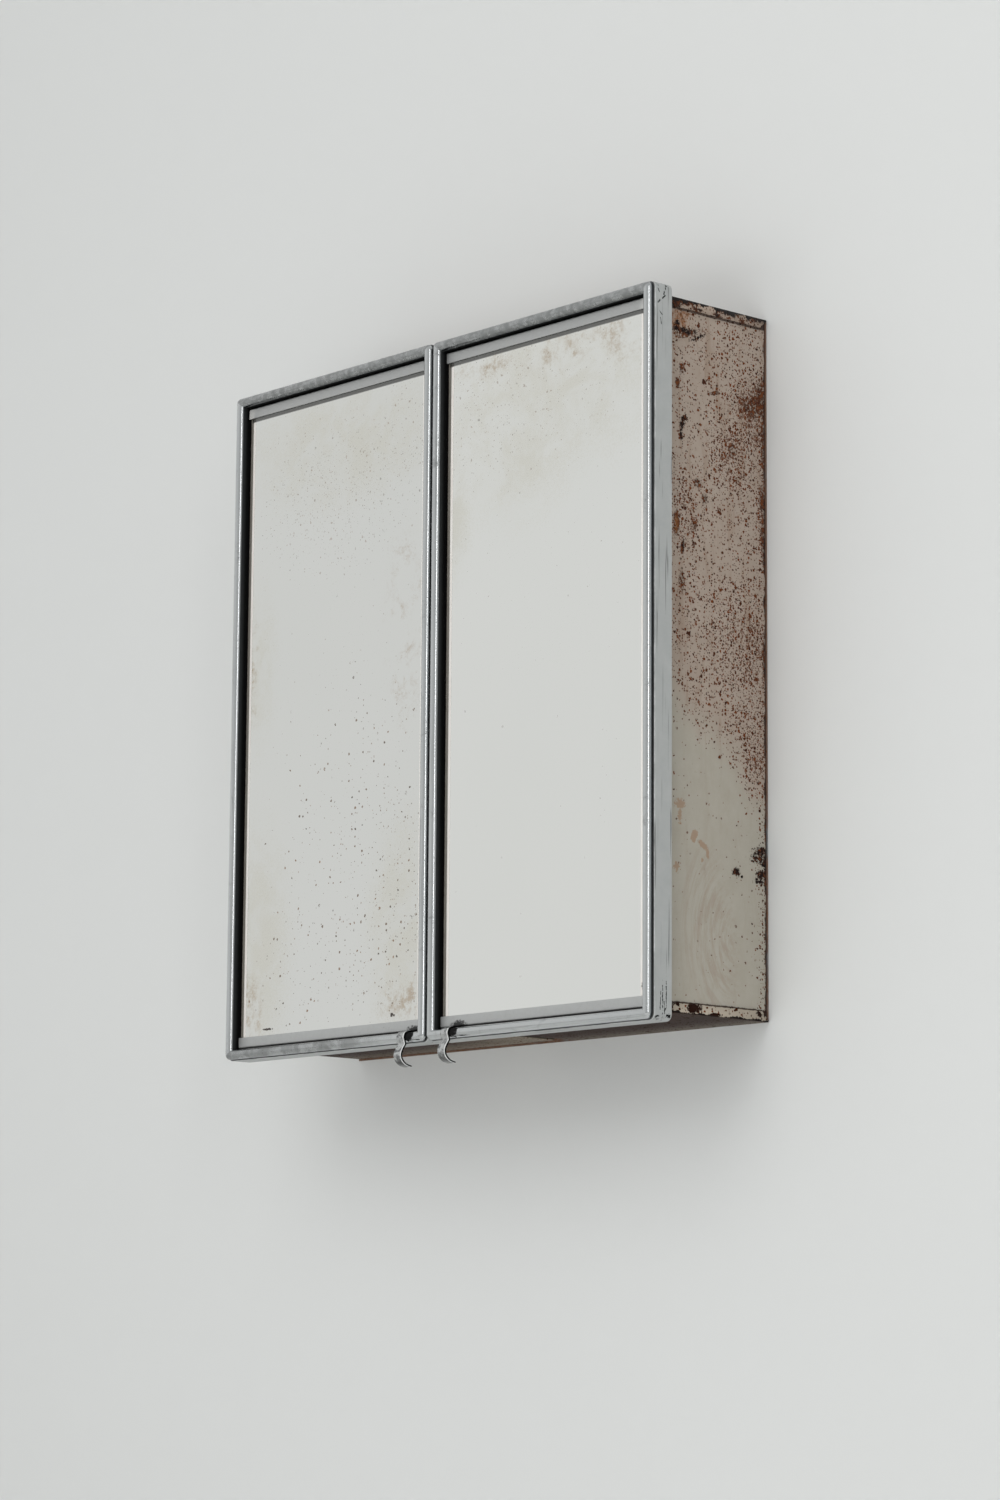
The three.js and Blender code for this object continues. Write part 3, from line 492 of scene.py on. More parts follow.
def make_inner_paint():
    """The same enamel where it was kept clean: shelves, door backs and ledges."""
    material, tree, shader, place, _ = surface("aged cream paint, inside")
    mid_noise = noise(tree, place, 40.0, 4.0, 0.6)
    paint = blend_colour(tree, mid_noise, (0.44, 0.42, 0.37, 1), (0.56, 0.545, 0.49, 1))
    spots = use(tree, SPECKS, Vector=place, Scale=330.0, Cover=scaled(tree, noise(tree, place, 12.0, 3.0),
                                                                      0.9, -0.38), Softness=0.05)["Mask"]
    paint = blend_colour(tree, times(tree, spots, 0.8), paint, RUST_BROWN)
    rings = put(tree, "TexVoronoi", {"Vector": stretched(tree, place, (1, 1, 0.001)), "Scale": 22.0},
                feature="F1").outputs["Distance"]
    ring = times(tree, fade(tree, rings, 0.30, 0.33), fade(tree, rings, 0.40, 0.36))
    facing = put(tree, "SeparateXYZ", {0: put(tree, "TexCoord").outputs["Normal"]}).outputs[2]
    ring = times(tree, ring, fade(tree, facing, 0.7, 0.9))
    paint = blend_colour(tree, times(tree, ring, 0.28), paint, (0.22, 0.13, 0.07, 1))
    feed(tree, shader, Base_Color=paint, Roughness=blend_value(tree, spots, 0.38, 0.8))
    bumped(tree, shader, scaled(tree, spots, 0.8, mid_noise), 0.00012)
    return material


def make_bare_steel():
    """Unpainted rear sheet: dull zinc grey with rust spreading from the edges."""
    material, tree, shader, place, (x, _, z) = surface("bare sheet steel")
    low_noise = noise(tree, place, 9.0, 5.0, 0.65)
    flakes = put(tree, "TexVoronoi", {"Vector": place, "Scale": 170.0}, feature="F1").outputs["Color"]
    tone = scaled(tree, put(tree, "SeparateXYZ", {0: flakes}).outputs[0], 0.35,
                  times(tree, noise(tree, place, 30.0, 5.0, 0.65), 0.9))
    steel = blend_colour(tree, tone, (0.20, 0.205, 0.21, 1), (0.34, 0.345, 0.345, 1))
    edge = most(tree, [fade(tree, absolute(tree, x), 0.20, 0.262),
                       fade(tree, absolute(tree, z), 0.22, 0.295)])
    rust = fade(tree, scaled(tree, edge, 0.22, low_noise), 0.52, 0.66)
    specks = use(tree, SPECKS, Vector=place, Scale=420.0, Cover=scaled(tree, rust, 0.5, 0.1),
                 Softness=0.08)["Mask"]
    mask = most(tree, [times(tree, rust, 0.85), specks])
    brown = blend_colour(tree, noise(tree, place, 120.0, 5.0, 0.7), (0.055, 0.030, 0.018, 1),
                         (0.23, 0.10, 0.045, 1))
    feed(tree, shader, Base_Color=blend_colour(tree, mask, steel, brown),
         Metallic=minus(tree, 0.85, mask, clamp=True), Roughness=blend_value(tree, mask, 0.46, 0.88))
    bumped(tree, shader, plus(tree, mask, noise(tree, place, 300.0)), 0.00014)
    return material


def frame_marks(tree, place, hand, side):
    """Black scratches on the right door's outer band, and a painted shadow and reflection of each pull on the
    bead beside it.
    """
    marks = []
    if side > 0:
        edge_x = DOOR_CENTRE_X + DOOR_HALF_WIDTH
        for my, mz, ry, rz, turn in ((-128.0, 295.5, 0.6, 3.0, 22), (-129.8, 290.7, 0.55, 2.1, 18),
                                     (-130.7, 287.1, 0.65, 2.8, 47), (-134.9, 283.5, 0.7, 2.9, 49),
                                     (-136.8, 296.8, 0.5, 1.6, -27), (-135.6, 292.0, 0.4, 1.6, -27),
                                     (-133.4, 273.8, 0.45, 1.7, -45), (-119.6, 291.2, 0.35, 4.1, -11),
                                     (-133.3, 267.1, 0.35, 3.1, -11), (-126.8, 298.0, 0.4, 1.6, -70),
                                     (-131, -282, 0.5, 9.0, 0), (-127, -279, 0.45, 10.0, 0),
                                     (-133.4, -285, 0.35, 6.0, 3), (-129, -290, 0.35, 6.0, -3),
                                     (-124, -296, 2.2, 1.2, 0), (-136, -297, 1.6, 0.9, 0),
                                     (-128, -291, 0.8, 0.9, 0)):
            marks.append(use(tree, SPOT, Vector=place, Centre=(edge_x, my * MM, mz * MM),
                             Size=(0.004, ry * MM, rz * MM), Turn=math.radians(turn), Raggedness=1.5)["Mask"])
    tab_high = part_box("pull_tab_" + hand)[1].x
    # beside each pull, on the bead: painted shadow and reflection of the pull
    marks.append(use(tree, SPOT, Vector=place, Centre=(tab_high + 0.0026, BEAD_FOOT_Y - 0.003,
                                                       -INNER_HALF_HEIGHT - 0.0030),
                     Size=(0.0066, 0.010, 0.0052), Raggedness=0.5, Softness=0.15)["Mask"])
    return most(tree, marks)


def make_frame_metal(hand, side):
    """Drawn aluminium of a door frame: a bright bead, painted shade with dirt in the step behind it and a
    dull outer band.
    """
    material, tree, shader, place, (x, y, z) = surface("aged aluminium, " + hand + " frame")
    from_middle = absolute(tree, minus(tree, x, side * DOOR_CENTRE_X))
    up = absolute(tree, z)
    rail = fade(tree, minus(tree, up, plus(tree, from_middle, DOOR_HALF_HEIGHT - DOOR_HALF_WIDTH)), -0.0003,
                0.0003)
    top_rail = times(tree, rail, fade(tree, z, 0.0, 0.1))
    along_stile = stretched(tree, place, (1, 1, 0.025))
    along_rail = stretched(tree, place, (0.025, 1, 1))
    lines = blend_value(tree, rail, noise(tree, along_stile, 1600.0, 2.0),
                        noise(tree, along_rail, 1600.0, 2.0))
    stain = noise(tree, place, 55.0, 5.0, 0.68, 0.4)
    slow = noise(tree, place, 11.0, 3.0, 0.5)
    band = fade(tree, y, BAND_FRONT_Y - 0.0003, BAND_FRONT_Y - 0.0001)
    metal = blend_colour(tree, slow, (0.55, 0.57, 0.58, 1), (0.66, 0.675, 0.68, 1))
    dull = times(tree, top_rail, fade(tree, noise(tree, place, 170.0, 4.0, 0.6), 0.25, 0.65, 0.25, 0.75))
    dull = larger(tree, dull, times(tree, fade(tree, stain, 0.56, 0.72), 0.45))
    bottom_left = times(tree, fade(tree, z, 0.0, -0.1), fade(tree, x, -0.03, -0.12))
    dull = larger(tree, dull,
                  times(tree, times(tree, rail, bottom_left), fade(tree, stain, 0.35, 0.60, 0.25, 0.70)))
    metal = blend_colour(tree, dull, metal, (0.22, 0.225, 0.225, 1))
    pits = use(tree, SPECKS, Vector=place, Scale=700.0,
               Cover=scaled(tree, stain, 0.5, 0.0 if side > 0 else 0.08), Softness=0.05)["Mask"]
    metal = blend_colour(tree, times(tree, pits, 0.55), metal, (0.10, 0.08, 0.065, 1))
    metal = blend_colour(tree, band, metal, blend_colour(tree, stain, (0.40, 0.415, 0.415, 1),
                                                         (0.52, 0.53, 0.525, 1)))
    # dark blue on the bead's flanks, strongest on the stiles: painted dark reflection
    flank = fade(tree, y, BEAD_FOOT_Y - 0.0016, BEAD_FOOT_Y - 0.0008)
    upright = fade(tree, absolute(tree, x), 0.008, 0.014, 0.35, 0.85)
    flank = times(tree, times(tree, flank, minus(tree, 1.0, band)), blend_value(tree, rail, upright, 0.25))
    metal = blend_colour(tree, flank, metal, (0.055, 0.068, 0.082, 1))
    # a bright line just behind the band's front edge: painted highlight
    band_edge_painted_highlight = times(tree, band, fade(tree, y, BAND_FRONT_Y + 0.0010, BAND_FRONT_Y + 0.0004))
    metal = blend_colour(tree, times(tree, band_edge_painted_highlight, fade(tree, stain, 0.4, 0.7, 0.0, 0.7)), metal,
                         (0.90, 0.91, 0.91, 1))
    scratched = use(tree, SCRATCHES, Vector=blend_vector(tree, rail, along_stile, along_rail), Scale=420.0,
                    Cover=0.34)["Mask"]
    metal = blend_colour(tree, times(tree, scratched, blend_value(tree, band, 0.12, 0.55)), metal,
                         (0.06, 0.055, 0.05, 1))
    # near-black in the step behind the bead and down the inner walls of the recess: painted shade with dirt,
    # blackest deepest in
    step = times(tree, fade(tree, y, BEAD_FOOT_Y - 0.0004, BEAD_FOOT_Y + 0.0002),
                 fade(tree, y, BAND_FRONT_Y + 0.0003, BAND_FRONT_Y - 0.0001))
    outside = most(tree, [fade(tree, from_middle, DOOR_HALF_WIDTH - 0.0045, DOOR_HALF_WIDTH - 0.0030),
                          fade(tree, up, DOOR_HALF_HEIGHT - 0.0045, DOOR_HALF_HEIGHT - 0.0030)])
    inner_wall = times(tree, fade(tree, from_middle, INNER_HALF_WIDTH + 0.0006, INNER_HALF_WIDTH + 0.0002),
                       fade(tree, up, INNER_HALF_HEIGHT + 0.0006, INNER_HALF_HEIGHT + 0.0002))
    from_foot = minus(tree, y, blend_value(tree, rail, BEAD_FOOT_Y, BEAD_FOOT_Y + 0.0020))
    inner_wall = times(tree, inner_wall, fade(tree, from_foot, -0.0014, -0.0004))
    recess_shade_and_dirt = larger(tree, times(tree, step, outside), inner_wall)
    deep = blend_colour(tree, fade(tree, y, BEAD_FOOT_Y, BEAD_FOOT_Y + 0.0045), (0.026, 0.028, 0.029, 1),
                        (0.002, 0.002, 0.002, 1))
    metal = blend_colour(tree, recess_shade_and_dirt, metal, deep)
    grain = use(tree, SPECKS, Vector=place, Scale=950.0, Cover=0.22, Softness=0.10)["Mask"]
    metal = blend_colour(tree, times(tree, times(tree, grain, band), 0.30), metal, (0.16, 0.155, 0.15, 1))
    # black scratches, and the painted shadow beside each pull
    marks = frame_marks(tree, place, hand, side)
    metal = blend_colour(tree, marks, metal, (0.008, 0.008, 0.008, 1))
    # dirt, pits, scratches and the painted shade and shadow all dull the metal
    dirt_and_shade = most(tree, [recess_shade_and_dirt, times(tree, pits, 0.6), marks])
    gloss = blend_value(tree, stain, 0.09, 0.17)
    gloss = blend_value(tree, dull, gloss, 0.42)
    gloss = blend_value(tree, band, gloss, 0.5)
    whole = blend_value(tree, band, 1.0, 0.35)
    feed(tree, shader, Base_Color=metal, Metallic=minus(tree, whole, dirt_and_shade, clamp=True),
         Roughness=blend_value(tree, dirt_and_shade, gloss, 0.85))
    shader.inputs["Specular IOR Level"].default_value = 0.15
    relief = scaled(tree, lines, 0.35, times(tree, pits, -0.5))
    bumped(tree, shader, scaled(tree, stain, 0.25, relief), 0.000012)
    return material


def make_channel_metal():
    """Dull grey channel that holds the glass, with yellowed residue at its ends, and painted light and shade.
    """
    material, tree, shader, place, (x, _, z) = surface("dull channel metal")
    lines = noise(tree, stretched(tree, place, (0.02, 1, 1)), 1500.0, 2.0)
    stain = noise(tree, place, 75.0, 5.0, 0.65)
    mottled = scaled(tree, noise(tree, place, 330.0, 4.0, 0.7), 0.9, times(tree, stain, 0.5))
    mottled = fade(tree, mottled, 0.45, 0.95)
    metal = blend_colour(tree, mottled, (0.12, 0.12, 0.112, 1), (0.27, 0.268, 0.255, 1))
    # the top channels are darker than the bottom ones: painted shade under the top rail
    metal = blend_colour(tree, fade(tree, z, 0.1, -0.1), metal,
                         blend_colour(tree, mottled, (0.22, 0.225, 0.22, 1), (0.43, 0.435, 0.43, 1)))
    residue = fade(tree, scaled(tree, stain, 0.4, fade(tree, absolute(tree, x), 0.225, 0.262)), 0.95, 1.15)
    residue = times(tree, residue, fade(tree, z, -0.1, 0.1, 0.15, 1.0))
    metal = blend_colour(tree, times(tree, residue, 0.6), metal, (0.30, 0.22, 0.11, 1))
    lip = [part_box("mirror_channel_top_left")[0].z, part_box("mirror_channel_bottom_left")[1].z]
    # a bright line along each lip edge: painted highlight
    lip_painted_highlight = most(tree, [fade(tree, minus(tree, z, lip[0]), 0.0013, 0.0008),
                       fade(tree, minus(tree, lip[1], z), 0.0010, 0.0006)])
    lip_painted_highlight = times(tree, lip_painted_highlight, fade(tree, absolute(tree, z), lip[0] - 0.002, lip[0] - 0.001))
    metal = blend_colour(tree, times(tree, lip_painted_highlight, 0.8), metal, (0.62, 0.63, 0.63, 1))
    # black behind each pull: painted shadow of the pull
    behind_tabs = []
    for hand, _ in HANDS:
        edge_low, bar_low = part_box("pull_tab_" + hand)[1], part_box("mirror_channel_bottom_" + hand)[0]
        behind_tabs.append(use(tree, SPOT, Vector=place,
                               Centre=(edge_low.x + 0.001, bar_low.y, bar_low.z + 0.0008),
                               Size=(0.0085, 0.02, 0.0036), Raggedness=0.8, Softness=0.3)["Mask"])
    metal = blend_colour(tree, times(tree, most(tree, behind_tabs), 0.9), metal, (0.010, 0.010, 0.010, 1))
    pits = use(tree, SPECKS, Vector=place, Scale=520.0, Cover=0.22, Softness=0.06)["Mask"]
    metal = blend_colour(tree, times(tree, pits, 0.7), metal, (0.06, 0.05, 0.045, 1))
    feed(tree, shader, Base_Color=metal, Metallic=blend_value(tree, larger(tree, pits, residue), 0.85, 0.2),
         Roughness=blend_value(tree, stain, 0.42, 0.6))
    bumped(tree, shader, scaled(tree, lines, 0.5, stain), 0.00005)
    return material


# Where the silver has aged, as (x, z, half width, half height). A crowd of dots also has its density.
AGEING = {
    "right": {
        "clouds": [(0.14, 0.235, 0.13, 0.06), (0.1, 0.19, 0.06, 0.05), (0.02, 0.15, 0.02, 0.05)],
        "browns": [(0.235, 0.262, 0.026, 0.018), (0.165, 0.262, 0.04, 0.014), (0.055, 0.268, 0.03, 0.01),
                   (0.258, -0.268, 0.006, 0.01)],
        "crowds": [(0.09, 0.225, 0.1, 0.05, 0.12), (0.13, 0.0, 0.12, 0.26, 0.012),
                   (0.2, -0.1, 0.03, 0.05, 0.03)],
        "chips": [(0.256, -0.272, 0.003, 0.004)],
    },
    "left": {
        "clouds": [(-0.235, -0.2, 0.035, 0.085), (-0.045, -0.2, 0.035, 0.08), (-0.245, 0.05, 0.022, 0.06),
                   (-0.13, 0.235, 0.11, 0.045)],
        "browns": [(-0.247, -0.262, 0.014, 0.026), (-0.035, -0.262, 0.03, 0.014),
                   (-0.25, 0.07, 0.006, 0.06), (-0.04, 0.06, 0.02, 0.06)],
        "crowds": [(-0.1, -0.12, 0.09, 0.11, 0.16), (-0.05, -0.16, 0.05, 0.1, 0.32),
                   (-0.13, -0.22, 0.1, 0.05, 0.2), (-0.13, 0.19, 0.09, 0.055, 0.2),
                   (-0.05, 0.22, 0.05, 0.05, 0.14), (-0.13, 0.0, 0.12, 0.26, 0.014)],
        "chips": [(-0.221, -0.2745, 0.0068, 0.001), (-0.053, -0.2735, 0.0018, 0.002),
                  (-0.05, -0.274, 0.0012, 0.0009)],
    },
}


def make_mirror(hand, side):
    """Silvered glass with old foxing: yellow-brown clouds near the edges, specks where silver is lost."""
    material, tree, shader, place, (x, _, z) = surface("old silvered glass, " + hand)
    low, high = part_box("mirror_" + hand)
    middle, half_x, half_z = (low.x + high.x) / 2, (high.x - low.x) / 2, (high.z - low.z) / 2
    from_edge = smaller(tree, minus(tree, half_x, absolute(tree, minus(tree, x, middle))),
                        minus(tree, half_z, absolute(tree, z)))
    cloud = noise(tree, place, 24.0, 6.0, 0.66, 0.4)
    fine = noise(tree, place, 150.0, 5.0, 0.7)
    # the left mirror's silver is painted darker: a painted dimmer reflection
    painted_reflection_level = 1.0 if side > 0 else 0.93
    silver = blend_colour(tree, noise(tree, place, 6.0, 3.0),
                          tuple(painted_reflection_level * c for c in (0.885, 0.895, 0.875)) + (1,),
                          tuple(painted_reflection_level * c for c in (0.92, 0.925, 0.905)) + (1,))
    flat = put(tree, "CombineXYZ", {0: x, 1: z}).outputs[0]
    aged = AGEING[hand]

    def area(cx, cz, rx, rz, softness):
        return use(tree, SPOT, Vector=place, Centre=(cx, low.y, cz), Size=(rx, 0.02, rz), Raggedness=0.5,
                   Softness=softness)["Mask"]

    yellow = most(tree, [area(*c, 0.7) for c in aged["clouds"]])
    yellow = times(tree, yellow, fade(tree, cloud, 0.36, 0.62, 0.25, 1.0))
    silver = blend_colour(tree, times(tree, yellow, 0.36), silver, (0.70, 0.66, 0.53, 1))
    brown = most(tree, [area(*c, 0.7) for c in aged["browns"]])
    brown = times(tree, brown, times(tree, fade(tree, cloud, 0.44, 0.60), fade(tree, fine, 0.40, 0.60)))
    silver = blend_colour(tree, times(tree, brown, 0.55), silver, (0.42, 0.27, 0.14, 1))
    density = most(tree, [times(tree, area(cx, cz, rx, rz, 0.8), amount) for cx, cz, rx, rz,
                          amount in aged["crowds"]])
    dots = use(tree, DOTS, Vector=flat, Scale=210.0, Density=density, Size=0.28, Wobble=0.5)
    tiny = use(tree, DOTS, Vector=flat, Scale=430.0,
               Density=times(tree, density, fade(tree, z, -0.05, 0.1, 0.4, 1.8)), Size=0.34, Wobble=0.5)
    spotted = larger(tree, times(tree, dots["Mask"], 0.9), times(tree, tiny["Mask"], 0.75))
    spotted = times(tree, spotted, fade(tree, z, -0.05, 0.15, 1.0, 0.6))
    dot_tone = blend_colour(tree, dots["Tone"], (0.05, 0.04, 0.03, 1), (0.20, 0.10, 0.045, 1))
    silver = blend_colour(tree, spotted, silver, dot_tone)
    # the side bevels are painted dull brown with a white line where they meet the flat: painted reflection of
    # the stile's inner wall and of the bead
    from_side = minus(tree, half_x, absolute(tree, minus(tree, x, middle)))
    bevel_painted_reflection = fade(tree, from_side, GLASS_BEVEL - 0.0034, GLASS_BEVEL - 0.0040)
    white_line = minus(tree, fade(tree, from_side, GLASS_BEVEL + 0.0002, GLASS_BEVEL - 0.0004), bevel_painted_reflection)
    silver = blend_colour(tree, times(tree, bevel_painted_reflection, 0.95), silver,
                          blend_colour(tree, fine, (0.17, 0.155, 0.13, 1), (0.27, 0.25, 0.22, 1)))
    silver = blend_colour(tree, white_line, silver, blend_colour(tree, cloud, (0.80, 0.73, 0.67, 1),
                                                                 (0.93, 0.93, 0.91, 1)))
    lip_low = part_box("mirror_channel_top_" + hand)[0].z
    shade = times(tree, fade(tree, z, lip_low - 0.0042, lip_low - 0.0030), fade(tree, from_side, 0.0, 0.004))
    silver = blend_colour(tree, times(tree, shade, 0.92), silver, (0.020, 0.020, 0.018, 1))
    rim = fade(tree, plus(tree, from_edge, times(tree, fine, 0.0007)), 0.0012, 0.0005)
    chipped = most(tree, [area(*c, 0.15) for c in aged["chips"]])
    silver = blend_colour(tree, larger(tree, rim, chipped), silver, (0.030, 0.018, 0.012, 1))
    # no silver where it is lost and where shade and reflections are painted
    lost = most(tree, [rim, chipped, spotted, shade, white_line, times(tree, bevel_painted_reflection, 0.75)])
    feed(tree, shader, Base_Color=silver, Metallic=minus(tree, 1.0, lost, clamp=True),
         Roughness=blend_value(tree, larger(tree, yellow, brown), 0.03, 0.14))
    shader.inputs["Coat Roughness"].default_value = 0.02
    shader.inputs["Coat Weight"].default_value = 0.4
    return material


def make_mirror_back():
    material, tree, shader, place, _ = surface("painted back of the glass")
    tone = noise(tree, place, 35.0, 5.0, 0.6)
    feed(tree, shader, Base_Color=blend_colour(tree, tone, (0.06, 0.032, 0.02, 1), (0.10, 0.06, 0.04, 1)),
         Roughness=0.7)
    bumped(tree, shader, noise(tree, place, 260.0), 0.0001)
    return material


def make_bright_steel(name, tone, gloss, line_axis):
    """Bent bright strip with hairlines and a little brown in its pores."""
    material, tree, shader, place, _ = surface(name)
    lines = noise(tree, stretched(tree, place, line_axis), 1400.0, 2.0)
    stain = noise(tree, place, 120.0, 5.0, 0.65)
    metal = blend_colour(tree, stain, tuple(c * 0.86 for c in tone) + (1,), tone + (1,))
    pits = use(tree, SPECKS, Vector=place, Scale=900.0, Cover=0.22, Softness=0.05)["Mask"]
    metal = blend_colour(tree, times(tree, pits, 0.6), metal, (0.13, 0.08, 0.05, 1))
    feed(tree, shader, Base_Color=metal, Metallic=blend_value(tree, pits, 1.0, 0.4),
         Roughness=blend_value(tree, stain, gloss, gloss + 0.14))
    bumped(tree, shader, scaled(tree, lines, 0.6, times(tree, pits, -0.7)), 0.00005)
    return material


def make_pull_steel():
    """Plated strip of the pulls: cloudy grey faces, a painted dark reflection on the curl, and a painted
    highlight and shadow at the edges.
    """
    material, tree, shader, place, (x, _, z) = surface("plated pull strip")
    cloud = noise(tree, place, 210.0, 4.0, 0.62, 0.5)
    metal = blend_colour(tree, fade(tree, cloud, 0.34, 0.58), (0.17, 0.175, 0.18, 1), (0.58, 0.59, 0.59, 1))
    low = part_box("pull_tab_right")[0]
    # the curl is painted darker: painted dark reflection
    curl = fade(tree, scaled(tree, cloud, 0.006, z), low.z + 0.0115, low.z + 0.0060)
    metal = blend_colour(tree, times(tree, curl, 0.85), metal, (0.075, 0.075, 0.072, 1))
    from_cut = [minus(tree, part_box("pull_tab_" + hand)[1].x, x) for hand, _ in HANDS]
    from_cut = smaller(tree, *(absolute(tree, far) for far in from_cut))
    # a bright band near the cut edge: painted highlight
    metal = blend_colour(tree, fade(tree, from_cut, 0.0025, 0.0020), metal, (0.95, 0.96, 0.96, 1))
    # black at the very edge: painted shadow
    metal = blend_colour(tree, fade(tree, from_cut, 0.0011, 0.0008), metal, (0.008, 0.009, 0.010, 1))
    pits = use(tree, SPECKS, Vector=place, Scale=900.0, Cover=0.3, Softness=0.05)["Mask"]
    metal = blend_colour(tree, times(tree, pits, 0.5), metal, (0.10, 0.08, 0.065, 1))
    feed(tree, shader, Base_Color=metal, Metallic=1.0, Roughness=blend_value(tree, cloud, 0.10, 0.26))
    bumped(tree, shader, scaled(tree, pits, -0.5, cloud), 0.00004)
    return material


def make_plain(name, first, second, scale, roughness, relief):
    """Card and rubber: two close tones and a fine grain."""
    material, tree, shader, place, _ = surface(name)
    grain = noise(tree, place, scale, 5.0, 0.7)
    feed(tree, shader, Base_Color=blend_colour(tree, grain, first, second),
         Roughness=blend_value(tree, grain, roughness - 0.08, roughness + 0.06))
    bumped(tree, shader, grain, relief)
    return material


SIDE_PAINT = make_side_paint()
TOP_PAINT = make_panel_paint("aged cream paint, top", (0.47, 0.375, 0.31, 1), (0.36, 0.275, 0.215, 1), 0.62,
                             0.022, 0.0030, False)
BOTTOM_PAINT = make_panel_paint("aged cream paint, bottom", (0.56, 0.50, 0.42, 1), (0.44, 0.37, 0.29, 1),
                                0.22, 0.010, 0.0014, True)
INNER_PAINT = make_inner_paint()
BARE_STEEL = make_bare_steel()
FRAME_METAL = {hand: make_frame_metal(hand, side) for hand, side in HANDS}
CHANNEL_METAL = make_channel_metal()
MIRROR = {hand: make_mirror(hand, side) for hand, side in HANDS}
MIRROR_BACK = make_mirror_back()
PULL_STEEL = make_pull_steel()
SPRING_STEEL = make_bright_steel("spring steel", (0.60, 0.61, 0.62), 0.26, (1, 0.03, 1))
HINGE_STEEL = make_bright_steel("plated hinge steel", (0.44, 0.43, 0.41), 0.38, (1, 1, 0.03))
CARD = make_plain("backing card", (0.24, 0.17, 0.10, 1), (0.33, 0.24, 0.15, 1), 380.0, 0.88, 0.0001)
RUBBER = make_plain("black rubber", (0.014, 0.014, 0.015, 1), (0.03, 0.03, 0.031, 1), 500.0, 0.72, 0.00005)


# ---------------------------------------------------------------- modelling helpers
def finished(name, bm, materials, body, node, edge=0.0, smooth=35.0):
    """Turns a bmesh into a piece that rides on a body and stands for a node."""
    mesh = bpy.data.meshes.new(name)
    bm.to_mesh(mesh)
    bm.free()
    for material in materials:
        mesh.materials.append(material)
    mesh.shade_smooth()
    mesh.set_sharp_from_angle(angle=math.radians(smooth))
    piece = bpy.data.objects.new(name, mesh)
    bpy.context.scene.collection.objects.link(piece)
    if edge:
        soften = piece.modifiers.new("softened edges", "BEVEL")
        soften.width = edge
        soften.segments = 2
        soften.limit_method = "ANGLE"
        soften.angle_limit = math.radians(40)
        soften.harden_normals = True
    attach(piece, body)
    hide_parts(node)
    return piece


AXES = {
    "x": ((0, 1, 0), (0, 0, 1), (1, 0, 0)),
    "y": ((1, 0, 0), (0, 0, 1), (0, 1, 0)),
    "z": ((1, 0, 0), (0, 1, 0), (0, 0, 1)),
}


def folded(outline, axis, start, end):
    """A folded sheet along axis. The outline is its section: (first, second, radius) of each corner."""
    first, second, along = (Vector(v) for v in AXES[axis])
    bm = bmesh.new()
    corners = [bm.verts.new(first * a + second * b + along * start) for a, b, _ in outline]
    bm.faces.new(corners)
    for radius in sorted({r for _, _, r in outline if r > 0}):
        bends = [v for v, (_, _, r) in zip(corners, outline) if r == radius]
        bmesh.ops.bevel(bm, geom=bends, offset=radius, offset_type="OFFSET", affect="VERTICES", segments=5,
                        profile=0.5, material=-1)
    pulled = bmesh.ops.extrude_face_region(bm, geom=bm.faces[:])["geom"]
    bmesh.ops.translate(bm, verts=[v for v in pulled if isinstance(v, bmesh.types.BMVert)],
                        vec=along * (end - start))
    bmesh.ops.recalc_face_normals(bm, faces=bm.faces[:])
    return bm


def softened_copy(node, materials, body, edge):
    """A carried-over CAD shape with its edges broken."""
    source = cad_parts[node].data
    bm = bmesh.new()
    bm.from_mesh(source)
    bmesh.ops.remove_doubles(bm, verts=bm.verts[:], dist=CLOSE)
    bmesh.ops.dissolve_limit(bm, angle_limit=math.radians(1), verts=bm.verts[:], edges=bm.edges[:])
    for face in bm.faces:
        face.material_index = 0
    return finished(node + "_soft", bm, materials, body, node, edge)


# ---------------------------------------------------------------- door frames
def frame_section(steps=14):
    """Section as (in from the outer face, y): half-round bead, step, flat band and the bar behind."""
    inner = BEAD_INSET + 2 * BEAD_RADIUS
    points = []
    for i in range(steps + 1):
        turn = math.pi * i / steps
        points.append((BEAD_INSET + BEAD_RADIUS * (1 - math.cos(turn)),
                       BEAD_FOOT_Y - BEAD_RADIUS * math.sin(turn)))
    bar_rear = BEAD_FOOT_Y + BAR_DEPTH
    points += [(inner, bar_rear), (BAND_SHEET, bar_rear), (BAND_SHEET, DOOR_REAR_Y), (BAND_CURL, DOOR_REAR_Y),
               (0, DOOR_REAR_Y - BAND_CURL), (0, BAND_FRONT_Y + BAND_CURL), (BAND_CURL, BAND_FRONT_Y),
               (BAR_INSET, BAND_FRONT_Y), (BAR_INSET, BEAD_FOOT_Y)]
    return points


CORNER_STEPS = 5
CORNER_ROUNDING = 5.5 * MM
CORNER_SLIDE = 1.5 * MM            # the first and last ring of a corner lie this far down its rails


def rail_place(deep, corner, part):
    """Place (x, z) on ring number part of a corner for a point that lies deep in from the outer face."""
    sx, sz = ((1, -1), (-1, -1), (-1, 1), (1, 1))[corner]
    radius, centre = max(CORNER_ROUNDING - deep, 0.0), max(deep, CORNER_ROUNDING)
    turn = math.pi / 2 * min(max((part - 1) / (CORNER_STEPS - 1), 0.0), 1.0)
    first_is_x = corner in (0, 2)
    along_x, along_z = (math.cos(turn), math.sin(turn)) if first_is_x else (math.sin(turn), math.cos(turn))
    px = DOOR_HALF_WIDTH - centre + radius * along_x
    pz = DOOR_HALF_HEIGHT - centre + radius * along_z
    if part in (0, CORNER_STEPS + 1):
        if first_is_x == (part == 0):
            pz -= CORNER_SLIDE
        else:
            px -= CORNER_SLIDE
    return sx * px, sz * pz


